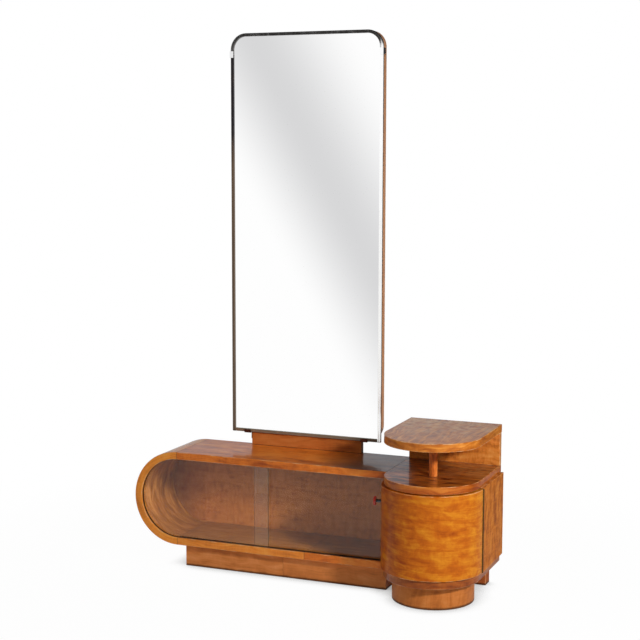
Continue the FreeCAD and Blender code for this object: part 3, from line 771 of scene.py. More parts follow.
class SurfaceNet(Net):
    """The net of one material, with its shader, its output and the object's own coordinates."""

    def __init__(self, name: str) -> None:
        """Makes the material with a Principled shader.

        Args:
            name: The material's name.
        """
        self.material = bpy.data.materials.new(name)
        self.material.use_nodes = True
        super().__init__(self.material.node_tree)
        self.tree.nodes.clear()
        self.shader = self.add("BsdfPrincipled")
        self.output = self.add("OutputMaterial", {"Surface": self.shader.outputs[0]})
        self.place = self.add("TexCoord").outputs["Object"]

    def handled(self, roughness: float, amount: float) -> Socket:
        """Gives a roughness with handling marks."""
        marked = self.group(handling_group(), Roughness=roughness, Place=self.place, Amount=amount)
        return marked["Roughness"]

    def worn(self, surface: Socket, tone: Colour, amount: float) -> Socket:
        """Gives a colour with worn edges that also carry painted highlights."""
        rubbed = self.group(edge_wear_group(), Colour=surface, Worn=tone, Edge=self.mark(ARRIS),
                            Place=self.place, Amount=amount)
        return rubbed["Colour"]

    def sheet_edge(self) -> Socket:
        """Gives a mask of the narrow edges of an upright sheet, whose normals lie across y.

        Returns:
            1 on the edges and 0 on the two faces.
        """
        edge_limits = (0.3, 0.7)
        facing = self.parts(self.add("NewGeometry").outputs["True Normal"])[1]
        return self.remap(self.math("ABSOLUTE", facing, 0.0), edge_limits, FALLING)


@dataclass(frozen=True)
class Finish:
    """What a piece is made of: the material's name, and a slot name that is not used."""

    name: str
    slot: str

    def material(self) -> bpy.types.Material:
        """Hands out the finish's material, wired on its first use.

        Returns:
            The material.
        """
        known = bpy.data.materials.get(self.name)
        if known:
            return known
        net = SurfaceNet(self.name)
        self.wire(net)
        return net.material

    def wire(self, net: SurfaceNet) -> None:
        """Wires the look of one kind of finish."""
        raise NotImplementedError


@dataclass(frozen=True)
class WoodFinish(Finish):
    """A lacquered veneer or a plain board."""

    pale: Screen
    middle: Screen
    dark: Screen
    streak: float = 0.8
    ripple: float = 0.5
    flame: float = 1.0
    mottle: float = 0.7
    slant: float = 0.0
    fineness: float = 1.0
    sway: float = 0.07
    pores: float = 0.2
    pore_bump: float = 0.6
    pore_depth: float = 0.0003
    # A slope of tone along the grain, used as painted light and shade.
    drift: float = 0.0
    stain: float = 0.0
    stain_tone: Screen = (60, 47, 40)
    # Painted shade: a ramp along x between these two places, darkest at the first, and its strength.
    unfaded: Optional[Pair] = None
    unfaded_shade: float = 0.42
    roughness: float = 0.3
    handling: float = 0.12
    gloss: float = 0.1
    coat: float = 0.6
    coat_roughness: float = 0.06
    coat_ior: float = 1.25
    # The edge wear also stands in for the highlight on rounded edges.
    wear: float = 0.8
    wear_tone: Screen = (232, 188, 136)
    grime: float = 0.0
    grime_tone: Screen = (38, 26, 18)
    coordinates: Coordinates = Coordinates.MAP

    def grain_vector(self, net: SurfaceNet) -> Socket:
        """Gives the coordinates that the pattern runs along.

        Args:
            net: The material's net.

        Returns:
            A vector in metres with x along the grain.
        """
        if self.coordinates is Coordinates.MAP:
            return net.add("UVMap", uv_map=GRAIN_MAP).outputs[0]
        if self.coordinates is Coordinates.UPRIGHT:
            return net.add("Mapping", {"Vector": net.place, "Rotation": (0.0, math.pi / 2, 0.0)}).outputs[0]
        return net.place

    def wire(self, net: SurfaceNet) -> None:
        """Wires veneer colour, edge wear with painted highlights, stains and painted shade, a painted shadow
        along the floor line, handling marks and a fine bump.

        Args:
            net: The material's net.
        """
        veneer = net.group(figured_veneer_group(), Vector=self.grain_vector(net), Pale=colour(self.pale),
                           Middle=colour(self.middle), Dark=colour(self.dark), Streak=self.streak,
                           Ripple=self.ripple, Flame=self.flame, Mottle=self.mottle, Slant=self.slant,
                           Fineness=self.fineness, Sway=self.sway, Pores=self.pores, Drift=self.drift)
        surface = net.worn(veneer["Colour"], colour(self.wear_tone), self.wear)
        # The darkening mark carries dark joints and painted shade: the case top near the drum and the base
        # board's foot.
        if self.stain > 0:
            surface = net.mix(net.times(net.mark(STAIN), self.stain), surface, colour(self.stain_tone))
        # Painted shade: a ramp along x darkens the colour towards the stain tone.
        if self.unfaded:
            shade = net.remap(net.parts(net.place)[0], self.unfaded, (self.unfaded_shade, 0.0))
            surface = net.mix(shade, surface, colour(self.stain_tone))
        # Painted shadow along the floor line: the lowest millimetres darken.
        if self.grime > 0:
            surface = net.group(floor_grime_group(), Colour=surface, Grime=colour(self.grime_tone),
                                Place=net.place, Amount=self.grime)["Colour"]
        bump = net.add("Bump", {"Strength": self.pore_bump * self.pores, "Distance": self.pore_depth,
                                "Height": veneer["Height"]})
        net.feed(net.shader, {"Base Color": surface, "Roughness": net.handled(self.roughness, self.handling),
                              "Normal": bump.outputs[0], "Specular IOR Level": self.gloss,
                              "Coat Weight": self.coat, "Coat Roughness": self.coat_roughness,
                              "Coat IOR": self.coat_ior})


@dataclass(frozen=True)
class MetalFinish(Finish):
    """Plated or bare metal with tarnish that grows from the clear level to the full one; on the mirror frame
    it paints dark reflection.
    """

    bright: Screen
    stain: Screen
    tarnish: float
    roughness: float
    full: float = 0.45
    clear: float = 1.85
    metallic: float = 1.0
    axis: Axis = Axis.UP
    handling: float = 0.08
    pit_bump: float = 0.1
    pit_depth: float = 0.0002

    def wire(self, net: SurfaceNet) -> None:
        """Wires bright plate, tarnish and painted dark reflection, and fine pits.

        Args:
            net: The material's net.
        """
        plate = net.group(tarnish_group(), Place=net.place, Level=net.parts(net.place)[self.axis.value],
                          Bright=colour(self.bright), Stain=colour(self.stain), Amount=self.tarnish,
                          Full=self.full, Clear=self.clear)
        rough = net.plus(net.handled(self.roughness, self.handling), plate["Roughness"], clamp=True)
        bump = net.add("Bump", {"Strength": self.pit_bump, "Distance": self.pit_depth,
                                "Height": plate["Height"]})
        net.feed(net.shader, {"Base Color": plate["Colour"], "Roughness": rough, "Normal": bump.outputs[0],
                              "Metallic": self.metallic})


@dataclass(frozen=True)
class PlasticFinish(Finish):
    """Glossy moulded plastic with faint swirls."""

    light: Screen
    deep: Screen
    roughness: float = 0.18
    handling: float = 0.15
    wear: float = 0.5
    coat: float = 0.4
    swirl_limits: Pair = (0.3, 0.7)

    def wire(self, net: SurfaceNet) -> None:
        """Wires two tones in a slow swirl, with worn edges that also carry painted highlights, and handling
        marks.

        Args:
            net: The material's net.
        """
        swirl = net.remap(net.noise(net.place, SWIRL_NOISE), self.swirl_limits)
        tone = net.mix(swirl, colour(self.deep), colour(self.light))
        net.feed(net.shader, {"Base Color": net.worn(tone, colour(self.light), self.wear),
                              "Roughness": net.handled(self.roughness, self.handling),
                              "Coat Weight": self.coat})


@dataclass(frozen=True)
class PaneFinish(Finish):
    """Clear sheet glass with a green edge."""

    tint: Screen
    edge: Screen
    handling: float = 0.006
    ior: float = 1.31

    def wire(self, net: SurfaceNet) -> None:
        """Wires glass with faint wipes, darker on its narrow edges and open to shadow rays.

        Args:
            net: The material's net.
        """
        tint = colour(self.tint)
        net.feed(net.shader, {"Base Color": net.mix(net.sheet_edge(), tint, colour(self.edge)),
                              "Roughness": net.handled(0.0, self.handling), "Transmission Weight": 1.0,
                              "IOR": self.ior})
        clear = net.add("BsdfTransparent", {0: tint})
        shadow = net.add("LightPath").outputs["Is Shadow Ray"]
        both = net.add("MixShader", {0: shadow, 1: net.shader.outputs[0], 2: clear.outputs[0]})
        net.feed(net.output, {"Surface": both.outputs[0]})


@dataclass(frozen=True)
class MirrorFinish(Finish):
    """Silvered glass."""

    silver: Screen
    edge: Screen
    speck: Screen = (150, 146, 138)
    speck_limits: Pair = (0.74, 0.8)
    speck_strength: float = 0.25
    handling: float = 0.02

    def wire(self, net: SurfaceNet) -> None:
        """Wires silver with faint specks of age, and a greenish ground edge.

        Args:
            net: The material's net.
        """
        specks = net.remap(net.noise(net.place, SPECK_NOISE), self.speck_limits)
        aged = net.mix(net.times(specks, self.speck_strength), colour(self.silver), colour(self.speck))
        net.feed(net.shader, {"Base Color": net.mix(net.sheet_edge(), aged, colour(self.edge)),
                              "Roughness": net.handled(0.0, self.handling), "Metallic": 1.0})


VENEER = WoodFinish("honey veneer", "figured_wood", (200, 117, 40), (178, 90, 23), (122, 50, 13), streak=1.4,
                    ripple=0.2, flame=1.6, mottle=0.6, slant=0.05, fineness=0.55, stain=0.38,
                    stain_tone=(62, 26, 11), wear=0.5)
DRUM_TOP_VENEER = replace(VENEER, name="drum top veneer", pale=(220, 130, 46), dark=(74, 26, 6), streak=2.0,
                          flame=2.6, fineness=1.2)
SHELF_VENEER = WoodFinish("shelf veneer", "figured_wood", (228, 153, 64), (197, 113, 36), (148, 73, 21),
                          streak=0.9, ripple=0.1, flame=1.3, mottle=0.8)
POST_VENEER = WoodFinish("post wood", "figured_wood", (248, 164, 90), (228, 126, 52), (162, 76, 30),
                         streak=0.8, ripple=0.3, flame=0.9, mottle=0.6, coat=0.25)
UPRIGHT_VENEER = WoodFinish("upright veneer", "figured_wood", (242, 172, 88), (222, 133, 54), (160, 82, 32),
                            streak=0.3, ripple=0.6, flame=0.9, mottle=0.8, fineness=0.8)
BASE_VENEER = WoodFinish("drum foot veneer", "figured_wood", (175, 106, 45), (156, 80, 23), (109, 47, 12),
                         streak=1.0, ripple=0.4, flame=1.0, mottle=0.8, wear=0.4)
# Painted light and shade: the door's tone slopes from darker at its left end to paler at its right.
DOOR_VENEER = WoodFinish("door veneer", "figured_wood", (219, 143, 33), (192, 100, 17), (146, 58, 10),
                         streak=0.5, ripple=0.15, flame=0.9, mottle=0.95, slant=0.04, sway=0.03, drift=0.75,
                         fineness=0.95, gloss=0.05, coat=0.3)
SIDE_VENEER = WoodFinish("side veneer", "figured_wood", (218, 144, 60), (194, 110, 35), (130, 62, 18),
                         streak=0.5, ripple=0.4, flame=1.0, mottle=1.2, gloss=0.02, coat=0.0)
PLAIN_VENEER = WoodFinish("lipping veneer", "figured_wood", (244, 154, 62), (225, 121, 38), (158, 71, 20),
                          streak=0.5, ripple=0.25, flame=1.3, mottle=0.5, fineness=0.55, stain=1.0)
# Lighter copies of the lipping veneer for the bent end and the bottom board's left part: painted light,
# where the left end is lit less.
BEND_VENEER = replace(PLAIN_VENEER, name="bend veneer", pale=(255, 188, 84), middle=(246, 150, 52),
                      dark=(176, 90, 28), streak=0.6, flame=0.7, mottle=0.3)
LEFT_LIP_VENEER = replace(BEND_VENEER, name="left lip veneer", pale=(248, 172, 76), middle=(234, 138, 48),
                          dark=(168, 82, 25))
# Darker, greyer copies for the faces inside the glazed case: painted shade, greyed as painted glass
# reflection.
BEND_INNER = replace(PLAIN_VENEER, name="bend inner veneer", pale=(214, 144, 74), middle=(170, 103, 44),
                     dark=(126, 73, 34), streak=0.3, flame=1.4, mottle=0.5, fineness=0.9, gloss=0.05,
                     coat=0.3)
CASE_INNER = replace(BEND_INNER, name="case inner veneer", pale=(206, 140, 76), middle=(162, 100, 48),
                     dark=(122, 74, 38), streak=0.15, flame=0.7, mottle=0.4)
# Its darkening mark paints the contact shadow along the base board's foot.
FOOT_BOARD_VENEER = replace(PLAIN_VENEER, name="foot board veneer", pale=(230, 150, 80),
                            middle=(209, 120, 55), dark=(148, 72, 30), ripple=0.1, mottle=0.4)
BOARD_VENEER = WoodFinish("mirror board wood", "figured_wood", (222, 172, 134), (205, 150, 112),
                          (176, 122, 86), streak=0.5, ripple=0.1, flame=0.6, mottle=0.3, pores=0.08,
                          coat=0.2)
PLINTH_WOOD = WoodFinish("plinth veneer", "plinth_wood", (236, 160, 98), (210, 129, 67), (153, 85, 40),
                         streak=0.4, ripple=0.12, flame=0.8, mottle=0.5, fineness=0.6, stain=1.0,
                         roughness=0.42, coat=0.1, grime=0.8)
DRUM_PLINTH_WOOD = replace(PLINTH_WOOD, name="round plinth veneer", pale=(212, 140, 77),
                           middle=(189, 112, 50), dark=(138, 73, 29), ripple=0.3)
FOOT_WOOD = WoodFinish("foot wood", "plinth_wood", (188, 110, 62), (161, 86, 43), (120, 60, 30),
                       roughness=0.45, gloss=0.02, coat=0.0, grime=0.8)
INNER_WOOD = WoodFinish("inner wood", "inner_wood", (226, 148, 79), (205, 122, 57), (154, 82, 36),
                        streak=0.5, ripple=0.6, flame=0.5, mottle=0.5, pores=0.05, roughness=0.5, coat=0.0,
                        wear=0.0, coordinates=Coordinates.LENGTHWISE)
# Painted shade: the back panel darkens towards its left end, beside the bent end.
BACK_WOOD = replace(INNER_WOOD, name="case back wood", unfaded=(-0.6, -0.43))
UPRIGHT_WOOD = WoodFinish("upright inner wood", "inner_wood", (206, 124, 64), (184, 100, 46), (134, 66, 27),
                          streak=0.8, ripple=0.3, flame=0.8, pores=0.1, roughness=0.55, coat=0.0, wear=0.0,
                          coordinates=Coordinates.UPRIGHT)
BATTEN_WOOD = WoodFinish("batten wood", "inner_wood", (190, 148, 104), (166, 122, 82), (124, 86, 54),
                         streak=0.7, ripple=0.1, flame=0.2, roughness=0.6, coat=0.0, wear=0.3)
# The frame's strips are one plate, finished apart to paint the reflections they show: the bow dark but white
# at its right corner, the left strip dark and brown, the right strip bright.
BOW_PLATE = MetalFinish("bow plate", "plated_metal", (252, 252, 252), (98, 95, 93), tarnish=1.0,
                        roughness=0.12, full=0.186, clear=0.2, axis=Axis.ACROSS)
BROWN_PLATE = MetalFinish("browned plate", "plated_metal", (108, 90, 74), (54, 51, 54), tarnish=1.0,
                          roughness=0.14, full=1.52, clear=1.36)
BRIGHT_PLATE = MetalFinish("bright plate", "plated_metal", (254, 254, 254), (190, 184, 172), tarnish=0.25,
                           roughness=0.06)
GREY_PLATE = MetalFinish("grey plate", "plated_metal", (184, 180, 164), (112, 98, 78), tarnish=0.5,
                         roughness=0.3, metallic=0.35)
RED_PLATE = MetalFinish("copper-worn plate", "plated_metal", (112, 62, 44), (64, 36, 28), tarnish=0.7,
                        roughness=0.25)
BRASS = MetalFinish("darkened brass", "hinge_brass", (120, 92, 54), (58, 42, 28), tarnish=0.6,
                    roughness=0.32)
STEEL = MetalFinish("bright zinc", "steel", (196, 196, 198), (120, 116, 108), tarnish=0.3, roughness=0.28)
RED = PlasticFinish("red plastic", "red_plastic", (228, 66, 42), (190, 42, 30))
BLACK = PlasticFinish("black plastic", "black_plastic", (34, 30, 28), (16, 14, 13))
PANE = PaneFinish("pane glass", "pane_glass", (246, 249, 246), (36, 60, 48))
SILVER = MirrorFinish("silvered glass", "mirror_glass", (254, 254, 254), (120, 134, 126))


def add_piece(name: str, shell: Shell, finish: Finish, body: Body, *nodes: str,
              zones: Sequence[tuple[Array, Finish]] = ()) -> None:
    """Turns a mesh into a finished piece of the table.

    Args:
        name: The piece's name.
        shell: Its mesh.
        finish: What it is made of.
        body: The body that it moves with.
        nodes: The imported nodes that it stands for.
        zones: Choices of faces with another finish, and that finish.
    """
    mesh = bpy.data.meshes.new(name)
    mesh.from_pydata(shell.points.tolist(), [], shell.faces)
    layer = mesh.uv_layers.new(name=GRAIN_MAP)
    layer.data.foreach_set("uv", shell.grain.astype(np.float32).ravel())
    for label, marks in ((ARRIS, shell.arris), (STAIN, shell.stain)):
        mesh.attributes.new(label, "FLOAT", "POINT").data.foreach_set("value", marks.astype(np.float32))
    mesh.shade_smooth()
    mesh.set_sharp_from_angle(angle=SHARP_ANGLE)
    mesh.materials.append(finish.material())
    index = np.zeros(len(shell.faces), np.int32)
    for number, (chosen, other) in enumerate(zones, start=1):
        mesh.materials.append(other.material())
        index[chosen] = number
    mesh.polygons.foreach_set("material_index", index)
    mesh.validate()
    piece = bpy.data.objects.new(name, mesh)
    bpy.context.scene.collection.objects.link(piece)
    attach(piece, body.value)
    if nodes:
        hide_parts(*nodes)
    LOG.info("%s: %d faces for %s", name, len(shell.faces), ", ".join(nodes) or "no node")


def dress_nodes(finish: Finish, *nodes: str) -> None:
    """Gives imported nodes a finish.

    Args:
        finish: What they are made of.
        nodes: The nodes.
    """
    for node in nodes:
        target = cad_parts[node]
        target.data.materials.clear()
        target.data.materials.append(finish.material())
    LOG.info("%s on %s", finish.name, ", ".join(nodes))


class Assembly:
    """A sub-assembly of the table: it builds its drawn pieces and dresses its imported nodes."""

    def build(self) -> None:
        """Builds the drawn pieces."""
        raise NotImplementedError

    def dress(self) -> None:
        """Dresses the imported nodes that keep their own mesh, where there are any."""


@dataclass
class GlazedCase(Assembly):
    """The long case: top, bottom and bent end, with tracks, panes and back."""

    right: float = 929.0
    depth: float = 245.0
    low: float = 77.0
    high: float = 403.0
    board: float = 25.0
    track_front: float = 10.0
    track_rear: float = 19.0
    track_width: float = 5.0
    track_depth: float = 6.0
    track_arris: float = 0.4
    arris: float = 1.4
    rear_arris: float = 0.8
    joint: float = 0.6
    lip_joint: float = 638.8
    ledge: float = 4.5
    glass_line: float = 2.0
    glass_stain: float = 1.0
    seam: float = 0.6
    # Painted shade on the top near the drum: how dark, where it starts and where it is full.
    shade: float = 0.75
    shade_start: float = 690.0
    shade_full: float = 800.0

    def section(self, *tracks: float) -> Ring:
        """Gives the board's section: depth along the first axis, height above the outer face on the second.

        Args:
            tracks: Where each glass track starts, from the front.

        Returns:
            A rectangle with rounded edges whose inner face is cut by the tracks. The strip beside the glass
            and the tracks are drawn darker.
        """
        floor = self.board - self.track_depth
        corners = [(0.0, 0.0), (self.depth, 0.0), (self.depth, self.board)]
        radii = [self.arris, self.rear_arris, self.rear_arris]
        for start in sorted(tracks, reverse=True):
            end = start + self.track_width
            corners += [(end, self.board), (end, floor), (start, floor), (start, self.board)]
            radii += [self.track_arris, 0.0, 0.0, self.track_arris]
        line = min(tracks) - self.glass_line
        corners += [(line, self.board), (self.ledge, self.board), (0.0, self.board)]
        ring = Ring.polygon(corners, radii + [0.0, 0.0, self.arris])
        depth, height = ring.points.T
        rear = max(tracks) + self.track_width + self.track_arris
        glazed = (depth > line - NEAR) & (depth < rear + NEAR) & (height > floor - NEAR)
        return ring.stained(np.where(glazed, self.glass_stain, 0.0))

    def inside(self, ring: Ring, shell: Shell) -> Array:
        """Chooses the swept faces that lie behind the ledge on the board's inner side.

        Args:
            ring: The board's section.
            shell: The mesh swept from it.

        Returns:
            One truth value for each face. The end faces, which come last, are left out.
        """
        depth, height = (ring.points + np.roll(ring.points, -1, axis=0)).T / 2
        behind = (depth > self.ledge) & (depth < self.depth - self.arris)
        inner = behind & (height > self.board - self.track_depth - NEAR)
        rows = (len(shell.faces) - END_FACES) // len(inner)
        return np.append(np.tile(inner, rows), np.zeros(END_FACES, bool))

    def unfaded(self, top: Shell) -> Array:
        """Works out the painted shade on the upper face near the drum, under the raised shelf, rising evenly
        between two places along x.

        Args:
            top: The top board's mesh.

        Returns:
            The stain at each point.
        """
        x = top.points[:, 0] * MM_PER_METRE + HALF_WIDTH
        upper = top.points[:, 2] * MM_PER_METRE > self.high - self.arris
        rise = (x - self.shade_start) / (self.shade_full - self.shade_start)
        return self.shade * upper * np.clip(rise, 0.0, 1.0)

    @staticmethod
    def along(start: float, face: float, sense: float) -> Carry:
        """Carries the section right: outer face at the height given, inner one above (1) or below (-1)."""
        return lambda a, b, s: in_frame(start + s, a, face + sense * b)

    def build(self) -> None:
        """Builds the two boards and the bent end from one section."""
        radius = (self.high - self.low) / 2
        middle = (self.high + self.low) / 2
        ends = (self.joint, self.joint)
        at_start, at_both = (self.seam, 0.0), (self.seam, self.seam)
        straight = self.section(self.track_front, self.track_rear)
        top = sweep(straight, self.along(radius, self.high, -1.0), self.right - radius, ends, sections=6,
                    seed=1.0, seams=at_start)
        # Painted shade: the top's upper face darkens towards the drum, where the raised shelf shades it.
        top.stain = np.maximum(top.stain, self.unfaded(top))
        add_piece("case_top", top, PLAIN_VENEER, Body.TABLE, "case_top_board",
                  zones=[(self.inside(straight, top), CASE_INNER)])

        left = sweep(straight, self.along(radius, self.low, 1.0), self.lip_joint - radius, ends, sections=4,
                     seed=2.0, seams=at_both)
        right = sweep(straight, self.along(self.lip_joint, self.low, 1.0), self.right - self.lip_joint, ends,
                      sections=4, seed=2.4, seams=at_start)
        bottom = left.joined(right)
        right_part = np.arange(len(bottom.faces)) >= len(left.faces)
        inner = np.append(self.inside(straight, left), self.inside(straight, right))
        # The bottom board's left part takes the lighter copy as painted light.
        add_piece("case_bottom", bottom, LEFT_LIP_VENEER, Body.TABLE, "case_bottom_board",
                  zones=[(right_part, PLAIN_VENEER), (inner, CASE_INNER)])

        def round_end(a: Array, b: Array, s: Array) -> Array:
            """Runs round the left end: angle s / radius from the top, at radius minus the height b."""
            angle = math.pi / 2 + s / radius
            return in_frame(radius + (radius - b) * np.cos(angle), a, middle + (radius - b) * np.sin(angle))

        bend = self.section(self.track_front)
        bent = sweep(bend, round_end, math.pi * radius, ends, sections=96, seed=3.0, seams=at_both)
        add_piece("case_bend", bent, BEND_VENEER, Body.TABLE, "case_round_end",
                  zones=[(self.inside(bend, bent), BEND_INNER)])

    def dress(self) -> None:
        """Dresses the panes and the inner boards."""
        dress_nodes(BACK_WOOD, "case_back_panel")
        dress_nodes(INNER_WOOD, "end_joint_tongues")
        dress_nodes(PANE, "glass_pane_left", "glass_pane_right")


@dataclass
class Plinths(Assembly):
    """The set-back plinth box, the round plinth and the rear foot."""

    height: float = 77.0
    left: float = 184.0
    right: float = 920.0
    front: float = 25.0
    back: float = 240.0
    wall: float = 18.0
    joint: float = 551.3
    joint_seed: float = 0.4
    seam: float = 0.35
    arris: float = 1.2
    joint_arris: float = 0.4
    right_arris: float = 0.3
    end_arris: float = 0.6
    end_rounding: Pair = (0.2, 0.2)
    drum_x: float = 1086.0
    drum_y: float = 12.0
    drum_radius: float = 133.0
    drum_wall: float = 15.0
    foot: tuple[float, float, float, float] = (1163.0, 1209.0, 199.0, 245.0)
    foot_arris: float = 1.5
    foot_rounding: Pair = (1.0, 0.3)

    def build(self) -> None:
        """Builds each board of the box, the turned ring and the foot."""
        for name, near, seed in (("plinth_front", self.front, 4.0),
                                 ("plinth_back", self.back - self.wall, 5.0)):
            ring = Ring.polygon(rectangle(near, near + self.wall, 0.0, self.height), self.arris)
            first = sweep(ring, along_x(self.left), self.joint - self.left, (self.arris, self.joint_arris),
                          sections=4, seed=seed, seams=(0.0, self.seam))
            second = sweep(ring, along_x(self.joint), self.right - self.joint,
                           (self.joint_arris, self.right_arris), sections=4, seed=seed + self.joint_seed,
                           seams=(self.seam, 0.0))
            add_piece(f"{name}_board", first.joined(second), PLINTH_WOOD, Body.TABLE, name)
        start = self.front + self.wall
        length = self.back - self.wall - start
        for name, left, seed in (("plinth_left_end", self.left, 6.0),
                                 ("plinth_right_end", self.right - self.wall, 7.0)):
            ring = Ring.polygon(rectangle(left, left + self.wall, 0.0, self.height), self.end_arris)
            shell = sweep(ring, along_y(start), length, self.end_rounding, sections=4, seed=seed)
            add_piece(f"{name}_board", shell, PLINTH_WOOD, Body.TABLE, name)
        self.build_drum_plinth()
        ring = Ring.polygon(rectangle(*self.foot), self.foot_arris)
        shell = sweep(ring, along_z(0.0), self.height, self.foot_rounding, sections=3, seed=8.0)
        add_piece("rear_foot_block", shell, FOOT_WOOD, Body.TABLE, "rear_foot")

    def build_drum_plinth(self) -> None:
        """Builds the round plinth: its wall's section carried round a full circle, with upright grain."""
        inner = self.drum_radius - self.drum_wall
        ring = Ring.polygon(rectangle(inner, self.drum_radius, 0.0, self.height), self.arris)

        def turn(a: Array, b: Array, s: Array) -> Array:
            """Runs round the plinth's axis: angle s / radius at radius a and height b."""
            angle = s / self.drum_radius
            return in_frame(self.drum_x + a * np.cos(angle), self.drum_y + a * np.sin(angle), b)

        shell = sweep(ring, turn, 2 * math.pi * self.drum_radius, sections=120, grain=Grain.ROUND,
                      closed=True, seed=9.0)
        add_piece("drum_plinth_ring", shell, DRUM_PLINTH_WOOD, Body.TABLE, "drum_plinth")

    def dress(self) -> None:
        """Dresses the hidden glue blocks."""
        dress_nodes(INNER_WOOD, "plinth_glue_blocks")


def half_round_plan(centre: float, radius: float, rear: float) -> Ring:
    """Gives a plan with a half-round front: a rectangle whose front corners are rounded until they meet.

    Args:
        centre: The middle along x.
        radius: The front's radius.
        rear: The back edge along y.

    Returns:
        The outline.
    """
    rear_radius = 1.2
    front_steps, rear_steps = 40, 4
    corners = rectangle(centre - radius, centre + radius, -radius, rear)
    return Ring.polygon(corners, (radius, radius, rear_radius, rear_radius),
                        (front_steps, front_steps, rear_steps, rear_steps))


@dataclass(frozen=True)
class ScrewHeads:
    """A row of slotted screw heads that face along y: 1 towards the back, -1 towards the front."""

    radius: float
    rise: float
    sense: float
    shares: tuple[float, ...] = (0.22, 0.26, 0.6, 0.85, 1.0)
    turns: int = 24
    slot_share: float = 0.16
    slot_floor: float = 0.02
    dome_foot: float = 0.04
    rim_depth: float = -0.05

    def shell(self, centres: Array) -> Shell:
        """Makes the mesh of all the heads.

        Each head is a low dome, rise (1 - (r / R)^2) high at radius r, with a straight slot whose floor is
        level with the rim, closed by a flat back.

        Args:
            centres: Middle of each head on its face, in design millimetres.

        Returns:
            One mesh.
        """
        share = np.array(self.shares)[:, None]
        angle = np.linspace(0.0, 2 * math.pi, self.turns + 1)[None, :-1]
        across = self.radius * share * np.cos(angle)
        up = self.radius * share * np.sin(angle)
        in_slot = np.abs(across) < self.slot_share * self.radius
        height = np.where(in_slot, self.slot_floor, self.rise * (1 - share ** 2) + self.dome_foot)
        height[-1] = self.rim_depth
        x, y, z = centres.T[:, :, None, None]
        points = in_frame(x + across, y + self.sense * height, z + up).reshape(-1, 3)
        index = np.arange(across.size).reshape(across.shape)
        inner, outer = index[:-1], index[1:]
        quads = np.stack([inner, outer, np.roll(outer, -1, 1), np.roll(inner, -1, 1)], axis=-1)
        quads = quads.reshape(-1, 4)
        faces: list[list[int]] = []
        for offset in range(0, len(points), index.size):
            faces += (quads + offset).tolist()
            faces.append((index[0] + offset).tolist())
            faces.append((index[-1][::-1] + offset).tolist())
        corners = sum(len(face) for face in faces)
        plain = np.zeros(len(points))
        return Shell(points, faces, np.zeros((corners, 2)), plain, plain).outwards()


